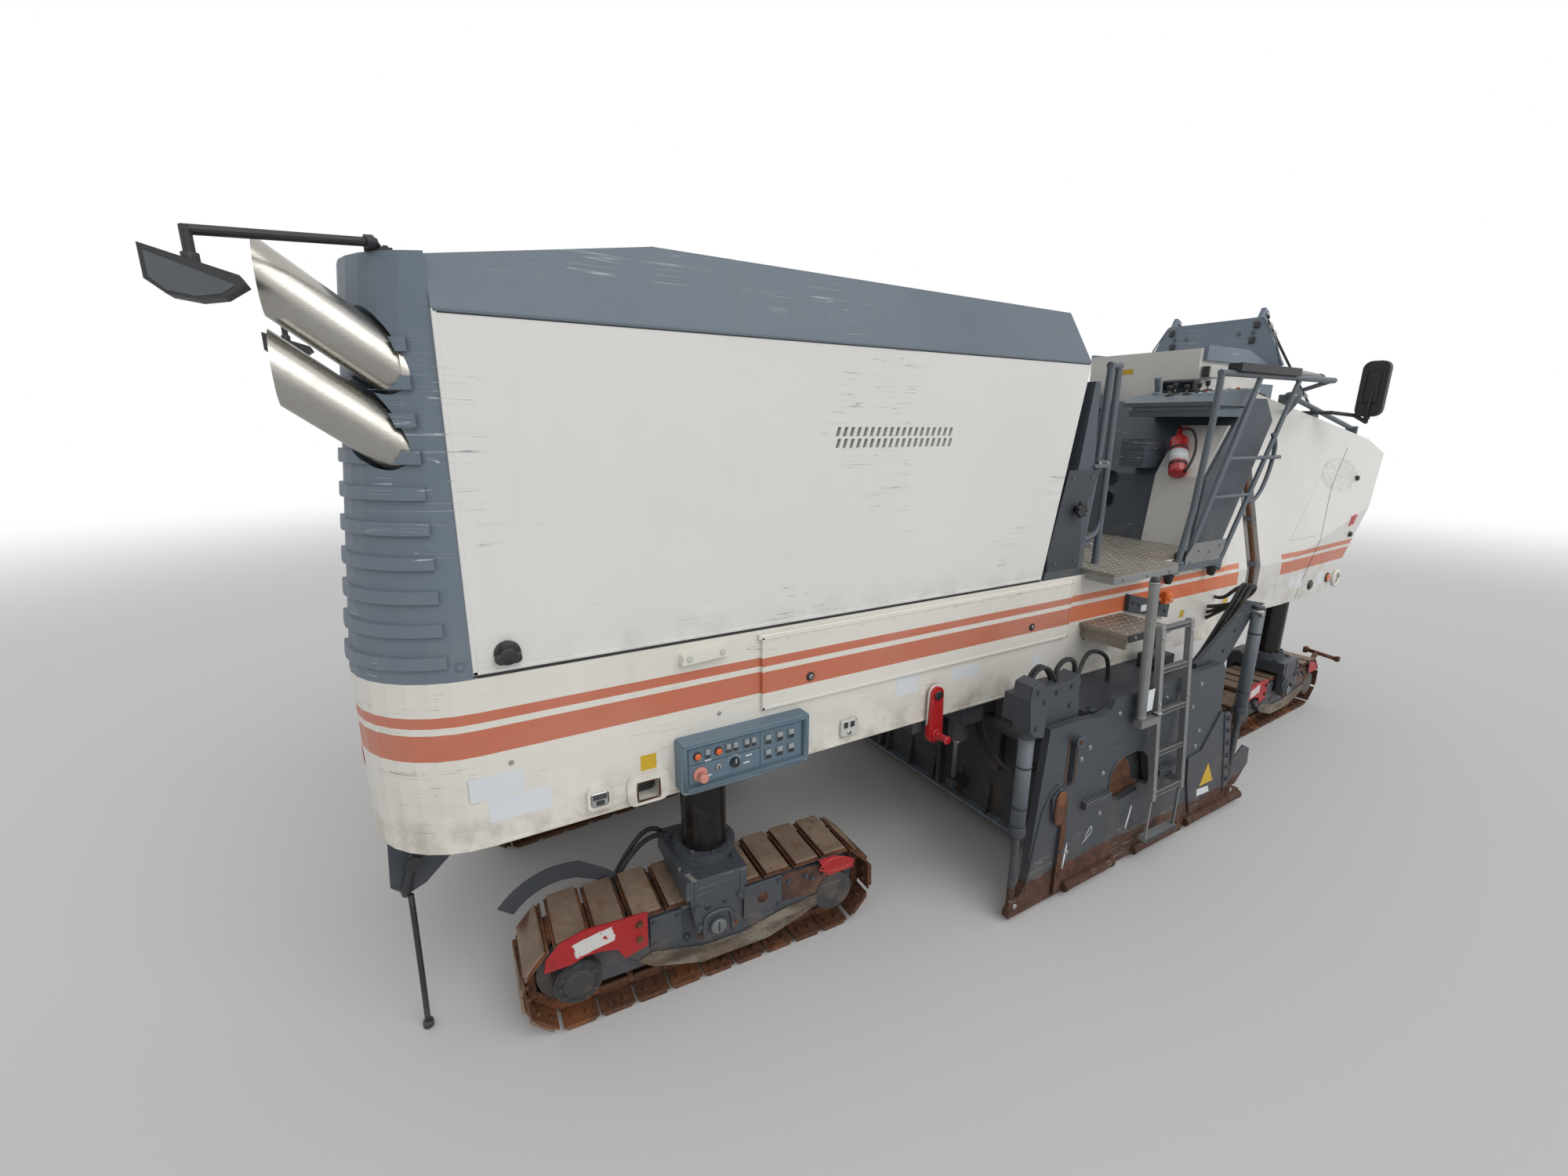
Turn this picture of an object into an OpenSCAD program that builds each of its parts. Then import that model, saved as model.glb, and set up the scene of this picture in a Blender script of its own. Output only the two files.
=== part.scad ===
// Cold planer milling machine on four tracks, +X forward, +Y left, +Z up.
// The origin is on the ground, under the middle of the whole machine.

/* [Chassis] */
// Half the width of the chassis box
half_w = 860; // [800:5:900]
// Underside of the chassis box
frame_z = 955; // [930:5:980]
// Top of the chassis box
deck_z = 1571; // [1540:1:1600]
// Rear face of the chassis
rear_x = -3835; // [-3900:5:-3780]
// Front end of the chassis box, where the front tanks begin
mid_x = 1180; // [1150:5:1220]
// Radius of the rounded rear corners
corner_r = 350; // [250:10:400]
// Height of the lashing eyes
eye_z = 1010; // [1005:1:1030]

/* [Hood] */
// Seam between the rear corners and the hood
seam_x = -3485; // [-3500:5:-3470]
// Gap at the hood's seams
hood_gap = 0.5; // [0.3:0.1:2]
// Lower edge of the hood
hood_z = 1583; // [1575:1:1610]
// Line between the white sides and the roof
brow_z = 2687; // [2600:5:2750]
// Front edge of the hood at its lower corner
hood_front = -731; // [-760:1:-710]
// How far the front edge leans forward
hood_lean = 219; // [150:1:240]
// Thickness of the hood's panels
skin = 20; // [10:1:26]
// Height of the roof at its rear edge
roof_rear_z = 2840; // [2820:5:2870]
// Height of the roof's ridge
ridge_z = 2954; // [2920:2:3000]
// How far the roof's edges lean inward
roof_lean = 110; // [60:5:150]
// Radius of the hood's hinge knuckles and of their pins
knuckle_r = 14; // [12:1:18]
knuckle_pin = 6; // [4:1:8]
// Slots in each row of the side grille
slots = 19; // [9:1:19]
// Rear and front edge of the tool door
door_x = [-2431, -471];
// Top of the tool door
door_z = 1542; // [1530:1:1550]
// Thickness of the tool door
door_t = 14; // [12:1:20]
// Radius of the hinge tube and of its pins
hinge_r = 7; // [6:0.5:7]
hinge_pin = 3; // [2:0.5:4]

/* [Rear end] */
// Forward lean of the rear corners
corner_lean = 6; // [3:0.5:8]
// Inner edge of the rear corner columns
corner_in = 430; // [400:5:450]
// Ribs on each corner column
ribs = 10; // [6:1:12]
// Height that a rib stands out
rib_h = 12; // [6:1:16]
// Outer radius of the exhaust pipes
pipe_r = 80; // [60:1:85]
// Wall of the exhaust pipes
pipe_wall = 5; // [3:1:8]
// Rise angle of the exhaust pipes
pipe_rise = 38; // [30:1:42]
// Heights of the pipe ends
pipe_z = [2752, 2518];
// Distance of the pipes from the chassis side
pipe_in = 140; // [120:5:180]
// Louvre blades between the corner columns
blades = 12; // [8:1:14]

/* [Front end] */
// Underside of the front tanks
tank_z = 1060; // [1040:5:1080]
// Tip of the nose
nose_x = 4065; // [4000:5:4100]
// Height of the nose tip
nose_z = 2155; // [2120:5:2200]
// Height where the tank sides begin to lean inward
lean_z = 1400; // [1350:5:1450]
// Inward lean of the tank sides
tank_lean = 14; // [10:0.5:15]
// Top of the front tanks at their rear
tank_top = 2640; // [2600:5:2680]
// Length of the slope at the rear of the tanks
tank_back = 540; // [500:5:560]
// Length and height of the slope above the nose tip
nose_l = 305; // [280:5:330]
nose_t = 125; // [100:5:140]
// Thickness of the cover over the channel
cover_t = 40; // [20:5:60]
// Radius over the belt at its pulleys
belt_r = 80; // [70:1:90]
// Thickness of the belt
belt_t = 12; // [8:1:15]
// Half the width of the channel for the belt
channel = 360; // [350:5:380]

/* [Platform] */
// Rear and front edge of the standing floor
floor_x = [-385, 815];
// Thickness of the floor plates
floor_t = 38; // [20:1:40]
// Width of the folding step beside the floor
step_w = 190; // [150:5:200]
// Front edge of the folding step
step_end = 230; // [200:5:300]
// Rear and front edge of the lower steps
low_step_x = [-355, 40];
// Width of the lower steps
low_step_w = 300; // [200:10:320]
// Height of the lower steps
low_step_z = 1290; // [1260:5:1310]
// Radius of the rail tubes
rail_r = 19; // [15:1:22]
// Height of the rails
rail_z = 2690; // [2600:5:2720]

/* [Tracks] */
// Places of the rear and front lift columns
column_x = [-2635, 2400];
// Distance of the lift columns from the chassis side
column_in = 150; // [145:1:170]
// Radius of the lift columns
column_r = 98; // [85:1:100]
// Radial clearance of a column in its guide
column_gap = 1; // [0.5:0.5:3]
// Top of the lift columns
column_top = 1300; // [1250:5:1320]
// Top of the guides in the chassis
guide_top = 1550; // [1535:5:1560]
// Steering angle at rest of the rear and front tracks
steer = [-3.8, 2.2];
// Overall length of a track
track_l = 1620; // [1500:10:1700]
// Overall height of a track
track_h = 440; // [400:5:470]
// Width of the track pads
track_w = 300; // [250:5:300]
// Pads on one track
pads = 24; // [20:1:26]
// Thickness of the pads
pad_t = 26; // [18:1:30]
// Thickness of the chain under the pads
chain_t = 42; // [30:1:50]
// Half the width over the frame of a track
side_w = 138; // [130:1:142]
// Thickness of the guard plates on a track
guard_t = 8; // [5:1:10]
// Radius of the cover over a track's motor
hub_r = 95; // [80:1:110]

/* [Milling unit] */
// Place of the drum's axis
drum_x = -185; // [-200:5:-170]
// Height of the drum's axis
drum_z = 490; // [485:1:500]
// Radius over the worn cutters
cut_r = 430; // [400:5:435]
// Radius of the drum tube
drum_r = 350; // [320:5:360]
// Half the milling width
drum_w = 1000; // [900:10:1010]
// Tool holders in each half of a flight
holders = 14; // [8:1:16]
// Half the width over the milling unit's walls
unit_w = 1250; // [1230:5:1252]
// Thickness of the milling unit's walls
wall = 25; // [15:1:30]
// Ends of the milling unit
unit_x = [-720, 350];

/* [Side plates] */
// Gap between a side plate and the milling unit
plate_gap = 10; // [6:1:12]
// Thickness of the side plates
plate_t = 40; // [30:1:45]
// Height of a side plate's runner over the ground
runner_z = 22; // [15:1:40]
// How far a side plate can rise
plate_rise = 230; // [150:5:235]
// Radius of the side plate's guide pin
guide_r = 24; // [18:1:26]
// Rear edge of the ladders
ladder_x = -330; // [-350:5:-300]
// Places of a side plate's rear and front lift cylinder
lift_x = [-1267, 757];
// Radius of the lift cylinders
barrel_r = 34; // [30:1:38]
// Radius of the cylinder rods
rod_r = 18; // [14:1:20]
// Radius of the hoses
hose_r = 12; // [8:1:14]

/* [Hidden] */
eps = 1;
white = [0.86, 0.85, 0.80];
slate = [0.24, 0.28, 0.33];
galv = [0.55, 0.57, 0.58];
rust = [0.42, 0.25, 0.17];
fit = 0.3;
hinge_y = -half_w - fit - hinge_r;

plate_in = unit_w + plate_gap;
plate_out = plate_in + plate_t;
bore_r = column_r + column_gap;
column_y = half_w - column_in;
roof_front = hood_front + hood_lean;
ridge_x = seam_x + 690;

// Points of an arc about c from angle a to angle b in n steps
function arc(c, r, a, b, n) = [for (i = [0:n]) c + r * [cos(a + (b - a) * i / n),
    sin(a + (b - a) * i / n)]];

// Plan of the chassis rear, grown by g all round
function rear_plan(front, g) = concat([[front, -half_w - g], [front, half_w + g]],
    arc([rear_x + corner_r, half_w - corner_r], corner_r + g, 90, 180, 8),
    arc([rear_x + corner_r, -half_w + corner_r], corner_r + g, 180, 270, 8));

// A flat rectangle between two corners, rounded by r
module rounded(a, b, r) {
    polygon(concat(arc(b - [r, r], r, 0, 90, 4), arc([a[0] + r, b[1] - r], r, 90, 180, 4),
        arc(a + [r, r], r, 180, 270, 4), arc([b[0] - r, a[1] + r], r, 270, 360, 4)));
}

// A profile in X and Z, swept across from y0 to y1
module across(y0, y1) {
    translate([0, y1, 0])
        rotate([90, 0, 0])
            linear_extrude(height = y1 - y0)
                children();
}

// The same on the right and on the left
module both_sides() {
    children();
    mirror([0, 1, 0])
        children();
}

// A box between two corners
module box(a, b) {
    translate(a)
        cube(b - a);
}

// A twelve-sided bar between two points, longer by start and end
module bar(a, b, r, start = 0, end = 0) {
    d = b - a;
    translate(a)
        rotate([0, acos(d[2] / norm(d)), atan2(d[1], d[0])])
            translate([0, 0, -start])
                cylinder(r = r, h = norm(d) + start + end, $fn = 12);
}

// A bar that turns at each point of a list
module bent_bar(points, r) {
    last = len(points) - 2;
    for (i = [0:last])
        bar(points[i], points[i + 1], r + 0.1 * i, i == 0 ? 0 : r * 0.7, i == last ? 0 : r * 0.6);
}

// A round bar along X, Y or Z through p
module rod_x(p, r, h) {
    translate(p)
        rotate([0, 90, 0])
            cylinder(r = r, h = h, $fn = 40);
}

module rod_y(p, r, h) {
    translate(p)
        rotate([-90, 0, 0])
            cylinder(r = r, h = h, $fn = 40);
}

module rod_z(p, r, h) {
    translate(p)
        cylinder(r = r, h = h, $fn = 48);
}

module main_frame() {
    color(white)
        difference() {
            union() {
                translate([0, 0, frame_z])
                    linear_extrude(height = deck_z - frame_z)
                        polygon(rear_plan(mid_x, 0));
                both_sides() {
                    raised_frame([-2928, eye_z + 10], [82, 65], 14);
                    raised_frame([-3117, 1034], [45, 42], 24);
                    across(-half_w - 42, -half_w + eps)
                        polygon([[-2785, 1497], [-2589, 1507], [-2592, 1542], [-2780, 1532]]);
                }
                hinge_lugs();
            }
            both_sides() {
                rod_z([column_x[0], -column_y, frame_z - eps], bore_r, guide_top - frame_z);
                raised_frame([-2928, eye_z], [48, 42], 30, 120);
                raised_frame([-3117, 1034], [34, 30], 30, 8);
            }
        }
}

// Block with rounded corners on the right side, about a place in X and Z, d deep inside
module raised_frame(at, half, out, d = 1) {
    r = half[1] / 2;
    across(-half_w - out, -half_w + d)
        translate(at)
            rounded(-half, half, r);
}

// The two front tanks, leaning in and tapering to the nose
module front_tanks() {
    in_y = lean_y(tank_top);
    color(white)
        both_sides()
            difference() {
                intersection() {
                    across(-half_w, -channel)
                        polygon([[mid_x, tank_z], [3025, tank_z - 10], [nose_x, nose_z],
                            [nose_x - nose_l, nose_z + nose_t], [mid_x + tank_back, tank_top],
                            [mid_x, deck_z]]);
                    rotate([90, 0, 90])
                        translate([0, 0, mid_x - eps])
                            linear_extrude(height = 3000)
                                polygon([[-channel, 1000], [-half_w, 1000], [-half_w, lean_z],
                                    [-in_y, tank_top + eps], [-channel, tank_top + eps]]);
                    translate([0, 0, 1000])
                        linear_extrude(height = 1700)
                            polygon([[mid_x - eps, -channel], [mid_x - eps, -half_w],
                                [2148, -half_w], [nose_x + eps, -half_w + 100],
                                [nose_x + eps, -channel]]);
                }
                rod_z([column_x[1], -column_y, 1000], bore_r, guide_top - 1000);
                lean_plate(-70, 5, [[1500, 1240], [1690, 1240], [1690, 2110], [1640, 2140], [1500, 2140]]);
            }
}

// A profile in X and Z on the leaning side of a tank, from depth a to height b over it
module lean_plate(a, b, profile) {
    intersection() {
        across(-half_w - b, -channel - eps)
            polygon(profile);
        rotate([90, 0, 90])
            linear_extrude(height = nose_x)
                polygon([[-half_w - b, 1000], [-half_w - b, lean_z], [-lean_y(2700) - b, 2700],
                    [-lean_y(2700) - a, 2700], [-half_w - a, lean_z], [-half_w - a, 1000]]);
    }
}

// Half the width over the tanks at height z, above the start of their lean
function lean_y(z) = half_w - (z - lean_z) * tan(tank_lean);

// Rear face of the slate wall at height z, above its bend
function desk_face(z) = floor_x[1] + 60 + (z - 2050) * 0.716;

// Rear face of the front tanks at height z, and their top at place x
function tank_face(z) = mid_x + (z - deck_z) * tank_back / (tank_top - deck_z);
function tank_roof(x) = tank_top - (x - mid_x - tank_back) * (tank_top - nose_z - nose_t)
    / (nose_x - nose_l - mid_x - tank_back);

// Slate wall in front of the platform, leaning forward
module front_wall() {
    color(slate) {
        difference() {
            across(-half_w + 60, half_w - 60)
                polygon([[floor_x[1], deck_z], [mid_x - fit, deck_z], [tank_face(2420) - fit, 2420],
                    [mid_x + 300, 2560], [desk_face(2560), 2560], [desk_face(2050), 2050]]);
            for (y = [-150, 150], z = [1860, 2010])
                rod_x([floor_x[1] - eps, y, z], 52, 100);
        }
        difference() {
            box([720, -460, 2105], [desk_face(2105) + 40, -290, 2290]);
            box([732, -448, 2117], [desk_face(2117) - 8, -302, 2300]);
        }
    }
}

// Cover over the belt channel between the tanks
module front_cover() {
    color(white)
        across(-channel, channel)
            polygon([[mid_x + tank_back, tank_top - cover_t], [nose_x - nose_l, nose_z + nose_t - cover_t],
                [nose_x - nose_l, nose_z + nose_t], [mid_x + tank_back, tank_top]]);
}

// White housing behind the desks, and the white panel on the wall
module centre_box() {
    color(white) {
        across(-420, 420)
            polygon([[mid_x + 120, 2560], [mid_x + 300, 2560], [mid_x + tank_back, tank_top],
                [mid_x + 1020, 2560], [mid_x + 1020, 2780], [mid_x + 700, 2905],
                [mid_x + 120, 2905]]);
        across(-780, -480)
            polygon([[floor_x[1] - 22, 1610], [floor_x[1] + 4, 1610], [desk_face(2050) - fit, 2050],
                [desk_face(2385) - fit, 2385], [desk_face(2385) - 30, 2385], [desk_face(2060) - 30, 2060]]);
    }
}

// Gantry that carries the hoist ropes of the discharge belt
module hoist_gantry() {
    x = mid_x + 1020;
    color(slate) {
        translate([x, 0, 0])
            rotate([90, 0, 90])
                linear_extrude(height = 25)
                    polygon([[-400, 2560], [400, 2560], [400, 2760], [545, 2830], [360, 3190], [-360, 3190],
                        [-545, 2830], [-400, 2760]]);
        both_sides() {
            box([x, -400, 2560], [x + 240, -375, 2700]);
            across(-450, -420)
                polygon([[x + 25, 2770], [x + 25, 2830], [x - 320, 2925], [x - 865, 2925], [x - 865, 2825],
                    [x - 400, 2825]]);
            difference() {
                across(-345, -315)
                    polygon([[x, 3000], [x + 60, 3000], [x + 110, 3230], [x + 40, 3260], [x, 3190]]);
                rod_y([x + 68, -350, 3215], 14, 60);
            }
        }
    }
}

// Chequer plate floor with the steps at its sides
module platform() {
    color(galv) {
        box([floor_x[0], -half_w, deck_z], [floor_x[1], half_w, deck_z + floor_t]);
        both_sides() {
            box([floor_x[0], -half_w - step_w, deck_z + 14], [step_end, -half_w + eps, deck_z + floor_t]);
            box([low_step_x[0], -half_w - low_step_w, low_step_z - 24],
                [low_step_x[1], -half_w, low_step_z]);
            for (x = [low_step_x[0] + 20, low_step_x[1] - 40])
                box([x, -half_w - low_step_w + 30, low_step_z - 90], [x + 20, -half_w, low_step_z - 23]);
        }
    }
}

// Wall between the engine bay and the platform
module bulkhead() {
    color(slate)
        across(-half_w + 4, half_w - 4)
            polygon([[hood_front + 26, deck_z], [floor_x[0] - fit, deck_z], [floor_x[0] - fit, 2170],
                [-415, 2600], [-455, 2600], [-515, 2170]]);
}

// Hand rails on both sides of the platform
module rails() {
    y = -half_w - 25;
    top = deck_z + floor_t;
    color(slate)
        both_sides() {
            bent_bar([[-350, y + 75, top], [-350, y + 75, 1780], [-290, y + 75, 2230], [-275, y + 75, rail_z],
                [-205, y + 75, rail_z], [-205, y + 75, top]], rail_r);
            box([500, y - 30, 1500], [1010, -half_w, 1540 - fit]);
            bent_bar([[530, y, 1538], [614, y, 1881], [682, y, 2486], [688, y, rail_z], [2200, y, rail_z + 10]],
                rail_r);
            bar([615, y, 1538], [1165, y, rail_z + 5], rail_r - 2);
            bar([1015, y, 1470], [1690, y, rail_z + 10], rail_r - 4);
            bar([915, y, 2180], [1600, y, 2180], rail_r - 6);
            bar([805, y, 1940], [1275, y, 1940], rail_r - 7);
            box([990, y - 14, 1450], [1040, -half_w, 1510]);
            box([830, y - 40, rail_z + 14], [1600, y + 40, rail_z + 62]);
            bar([2180, y, rail_z + 10], [2260, -590, tank_roof(2260) + 70], rail_r - 3, 10, 10);
            bar([2260, -590, tank_roof(2260) + 70], [3640, -560, tank_roof(3640) + 60], rail_r);
            for (x = [2300, 3600])
                across(-600, -520)
                    polygon([[x - 15, tank_roof(x - 15) + fit], [x + 15, tank_roof(x + 15) + fit],
                        [x + 15, tank_roof(x) + 80], [x - 15, tank_roof(x) + 80]]);
        }
}

// Control desks in front of the operator
module consoles() {
    color([0.45, 0.48, 0.5])
        both_sides() {
            across(-800, -240)
                polygon([[850, 2440], [desk_face(2440), 2440], [desk_face(2500), 2500], [830, 2480]]);
            translate([0, 0, 2480])
                linear_extrude(height = 26)
                    polygon([[860, -790], [desk_face(2480) - 5, -790], [desk_face(2480) - 5, -250],
                        [860, -250], [820, -300], [820, -740]]);
            across(-820, -220)
                polygon([[800, 2506], [desk_face(2560) - 40, 2506], [desk_face(2560), 2560],
                    [desk_face(2560), 2620], [880, 2572], [790, 2530]]);
        }
}

module extinguisher() {
    low = [800, -655, 2080];
    high = [935, -560, 2290];
    color([0.75, 0.08, 0.12]) {
        bar(low, high, 55);
        bar(high, high + (high - low) * 0.25, 18);
        across(-625, -575)
            polygon([[860, 2165], [desk_face(2165) - 30 - fit, 2165],
                [desk_face(2205) - 30 - fit, 2205], [880, 2205]]);
    }
}

// Leaning solid of the rear outline, grown by g
module leaning_rear(g) {
    translate([rear_x, 0, deck_z])
        rotate([0, corner_lean, 0])
            translate([-rear_x, 0, -300])
                linear_extrude(height = 1900)
                    polygon(rear_plan(seam_x + 400, g));
}

// Rear corner column with its ribs, on the right
module corner() {
    pitch = (brow_z - deck_z - 60) / ribs;
    color(slate)
        intersection() {
            union() {
                leaning_rear(0);
                intersection() {
                    leaning_rear(rib_h);
                    union()
                        for (i = [0:ribs - 1])
                            box([rear_x - 100, -half_w - 1, deck_z + 50 + pitch * i],
                                [seam_x - 70, -corner_in - 50, deck_z + 90 + pitch * i]);
                }
            }
            box([rear_x - 100, -half_w, deck_z], [seam_x, -corner_in, roof_rear_z]);
        }
}

// Corner column with the socket and pin of the hood's hinge
module hinged_corner() {
    difference() {
        corner();
        hood_hinge(knuckle_r + 1, 62);
    }
    color(slate)
        hood_hinge(knuckle_pin, 110);
}

// The bar of an exhaust pipe, from inside the corner to past its end
module pipe_bar(z, r) {
    translate([rear_x - 40, -half_w + pipe_in, z])
        rotate([0, 90 + pipe_rise, 0])
            translate([0, 0, -200])
                cylinder(r = r, h = 740, $fn = 48);
}

module corner_right() {
    difference() {
        hinged_corner();
        for (z = pipe_z)
            pipe_bar(z, pipe_r + 15);
    }
}

module corner_left() {
    mirror([0, 1, 0])
        hinged_corner();
}

// Two steel exhaust pipes, cut upright at their ends
module exhaust() {
    color([0.66, 0.63, 0.6])
        for (z = pipe_z)
            difference() {
                union() {
                    pipe_bar(z, pipe_r);
                    intersection() {
                        pipe_bar(z, pipe_r + 15 - fit);
                        box([seam_x - 90, -half_w, 1900], [seam_x - 60, -corner_in, 2900]);
                    }
                }
                pipe_bar(z, pipe_r - pipe_wall);
                box([rear_x - 500, -half_w, 2200], [rear_x - 40, -corner_in, 3300]);
                box([seam_x - 30, -half_w, 1800], [seam_x + 400, -corner_in, 2900]);
            }
}

// Louvre and cover between the corner columns
module rear_grille() {
    color([0.13, 0.14, 0.16])
        intersection() {
            union() {
                translate([45, 0, 0])
                    leaning_rear(0);
                for (i = [0:blades - 1])
                    translate([rear_x + 60 + 9 * i, 0, deck_z + 90 + 92 * i])
                        rotate([0, -35, 0])
                            cube([110, 3000, 8], center = true);
            }
            box([rear_x - 40, -corner_in, deck_z], [seam_x, corner_in, roof_rear_z]);
        }
}

// Engine, as one plain block
module engine() {
    color([0.3, 0.3, 0.3])
        box([-3250, -420, deck_z], [-1500, 420, 2440]);
}

// Ground control panel on the right
module control_panel() {
    color([0.32, 0.42, 0.5])
        difference() {
            across(-half_w - 70, -half_w)
                polygon([[-2815, 985], [-2800, 975], [-2250, 975], [-2235, 985], [-2235, 1180], [-2250, 1190],
                    [-2800, 1190], [-2815, 1180]]);
            box([-2790, -half_w - 71, 1000], [-2260, -half_w - 56, 1166]);
        }
}

module lever() {
    color([0.75, 0.06, 0.08]) {
        across(-half_w - 42, -half_w - 14)
            polygon(concat(arc([-1465, 1100], 38, 10, 170, 10), arc([-1465, 890], 46, 170, 370, 14)));
        rod_y([-1465, -half_w - 50, 1100], 24, 50);
        rod_y([-1465, -half_w - 120, 890], 17, 105);
    }
}

module tow_brackets() {
    color(slate)
        both_sides()
            difference() {
                across(-480, -440)
                    polygon([[rear_x + 30, frame_z], [rear_x + 10, 660], [rear_x + 60, 610], [rear_x + 130, 640],
                        [rear_x + 330, 830], [rear_x + 330, frame_z]]);
                rod_y([rear_x + 100, -500, 760], 26, 80);
            }
}

module mirrors() {
    color([0.08, 0.08, 0.09])
        both_sides() {
            box([-3625, -750, roof_rear_z], [-3555, -690, roof_rear_z + 14]);
            bent_bar([[-3590, -722, roof_rear_z + 12.7], [-3600, -760, 2860], [-3980, -900, 2810],
                [-3980, -900, 2715]], 12);
            across(-935, -865)
                polygon([[-nose_x, 2766], [-nose_x, 2690], [-4030, 2660], [-3975, 2652], [-3925, 2662],
                    [-3879, 2695], [-3890, 2715]]);
            across(-540, -460)
                polygon([[2660, tank_roof(2660) + fit], [2740, tank_roof(2740) + fit],
                    [2740, tank_roof(2740) + 30], [2660, tank_roof(2740) + 30]]);
            bent_bar([[2700, -500, tank_roof(2700) + 22], [2760, -700, 2490], [2900, -800, 2470],
                [2900, -880, 2420], [2900, -880, 2480]], 14);
            translate([2880, 0, 0])
                rotate([90, 0, 90])
                    linear_extrude(height = 50)
                        rounded([-965, 2460], [-800, 2870], 55);
        }
}

// Marker lamps beside the steps, on their brackets
module lamps() {
    color([0.85, 0.35, 0.05])
        both_sides() {
            box([388, -half_w - 50, 1345], [412, -half_w, 1369]);
            across(-half_w - 80, -half_w - 50)
                polygon([[358, 1318], [442, 1318], [442, 1392], [432, 1402], [368, 1402], [358, 1392]]);
        }
}

// Points of the hoses to a side plate's two cylinders, and a direction that none of them follows
hose_routes = [
    [[-240, -1000, frame_z + fit], [-240, -1000, 1010], [-290, -1010, 1110], [-400, -1020, 1170],
        [-520, -1040, 1180], [-620, -1070, 1110], [-720, -1110, 1060], [-800, -1150, 1090],
        [-830, -1185, 1190], [-880, -1205, 1265], [-950, -1205, 1280], [-1000, -1205, 1240],
        [-1000, -1205, 1192.6]],
    [[300, -1150, frame_z + fit], [300, -1150, 985], [390, -1150, 1020], [540, -1150, 1100],
        [720, -1150, 1220], [900, -1140, 1350], [1000, -1100, 1385], [1080, -1010, 1350],
        [1110, -930, 1270], [1110, -890, 1250], [1110, -half_w - fit, 1250]]];
hose_refs = [[0, 1, 0], [-1, 0, 1]];

// Point between the points i and i + 1 of a smooth curve through a list
function between(p, i, t) = let (a = p[max(i - 1, 0)], b = p[i], c = p[i + 1],
    d = p[min(i + 2, len(p) - 1)]) b + (c - a) * t / 2 + (2 * a - 5 * b + 4 * c - d) * t * t / 2
    + (3 * b - 3 * c + d - a) * t * t * t / 2;

// An eight-sided tube through a list of points
module hose(p, ref) {
    path = concat([p[0]], [for (i = [0:len(p) - 2], k = [1:4]) between(p, i, k / 4)]);
    last = len(path) - 1;
    ways = [for (i = [0:last]) i == 0 ? p[1] - p[0] : i == last ? p[len(p) - 1] - p[len(p) - 2]
        : path[i + 1] - path[i - 1]];
    rings = [for (i = [0:last]) let (u = cross(ways[i], ref), v = cross(ways[i], u), k_u = hose_r / norm(u),
        k_v = hose_r / norm(v)) for (a = [0:45:315]) path[i] + cos(a) * k_u * u + sin(a) * k_v * v];
    walls = [for (i = [0:last - 1], k = [0:7]) let (m = (k + 1) % 8, r = 8 * i)
        each [[r + k, r + 8 + k, r + 8 + m], [r + k, r + 8 + m, r + m]]];
    polyhedron(rings, concat([[for (k = [0:7]) k]], walls, [[for (k = [7:-1:0]) 8 * last + k]]));
}

module hoses() {
    color([0.1, 0.1, 0.1])
        both_sides()
            for (i = [0, 1])
                hose(hose_routes[i], hose_refs[i]);
}

// Walls, roof and decks round the drum, with the arms that hold the side plates
module drum_housing() {
    mid = [unit_x[0] + wall, unit_x[1] - wall];
    color(slate) {
        difference() {
            box([unit_x[0], -unit_w, 260], [unit_x[1], unit_w, frame_z]);
            box([mid[0], -drum_w - 30, 200], [mid[1], drum_w + 30, frame_z - wall]);
            both_sides()
                box([mid[0], -unit_w + wall, 200], [mid[1], -drum_w - 60, frame_z - wall]);
            box([unit_x[0] - eps, -drum_w - 30, 200], [mid[0] + eps, drum_w + 30, 880]);
            box([mid[1] - eps, -channel, 200], [unit_x[1] + eps, channel, 760]);
        }
        both_sides() {
            box([unit_x[0] - 5 + fit, -drum_w - 60, 300], [unit_x[0] + eps, -drum_w - 30, 900]);
            rod_y([-935, -plate_out - 30, 900], guide_r, plate_out + 30 - unit_w + wall);
            box([-960, -unit_w, 840], [unit_x[0] + eps, -unit_w + wall, frame_z]);
            plate_arm();
        }
    }
}

// Arms and lift cylinders of a side plate, on the right
module plate_arm() {
    y = -plate_in - plate_t / 2;
    difference() {
        union() {
            across(-unit_w, -unit_w + wall)
                polygon([[200, 1058], [213, 934], [415, 893], [525, 1010], [784, 1300], [895, 1326], [708, 1365]]);
            rod_z([lift_x[1], y, 640], barrel_r, 680);
            box([lift_x[1] - 30, y, 1270], [lift_x[1] + 30, -unit_w + wall, 1320]);
            across(-unit_w, -unit_w + 90)
                polygon([[-1210, 1010], [-1203, 1199], [-977, 1191], [-883, 1211], [-865, 1167], [-875, 1115],
                    [-858, 1029], [-858, frame_z - 80], [-980, frame_z - 80]]);
            rod_z([lift_x[0], y, 484], barrel_r, 616);
            across(-plate_out - 35, -unit_w + 5)
                polygon([[-1341, 1272], [-1286, 1286], [-1225, 1229], [-1216, 1170], [-1225, 997], [-1299, 1015],
                    [-1330, 1049], [-1352, 1206]]);
            box([-1300, -unit_w, 1050], [-1190, -unit_w + 90, 1180]);
        }
        rod_z([lift_x[1], y, 600], rod_r + fit, 690);
        rod_z([lift_x[0], y, 450], rod_r + fit, 600);
    }
}

// Belt frame that rises from the drum to the nose
belt_a = [430, 430];
belt_b = [3690, 1995];
belt_l = norm(belt_b - belt_a);
belt_rise = atan2(belt_b[1] - belt_a[1], belt_b[0] - belt_a[0]);

module along_belt() {
    translate([belt_a[0], 0, belt_a[1]])
        rotate([0, -belt_rise, 0])
            children();
}

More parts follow.
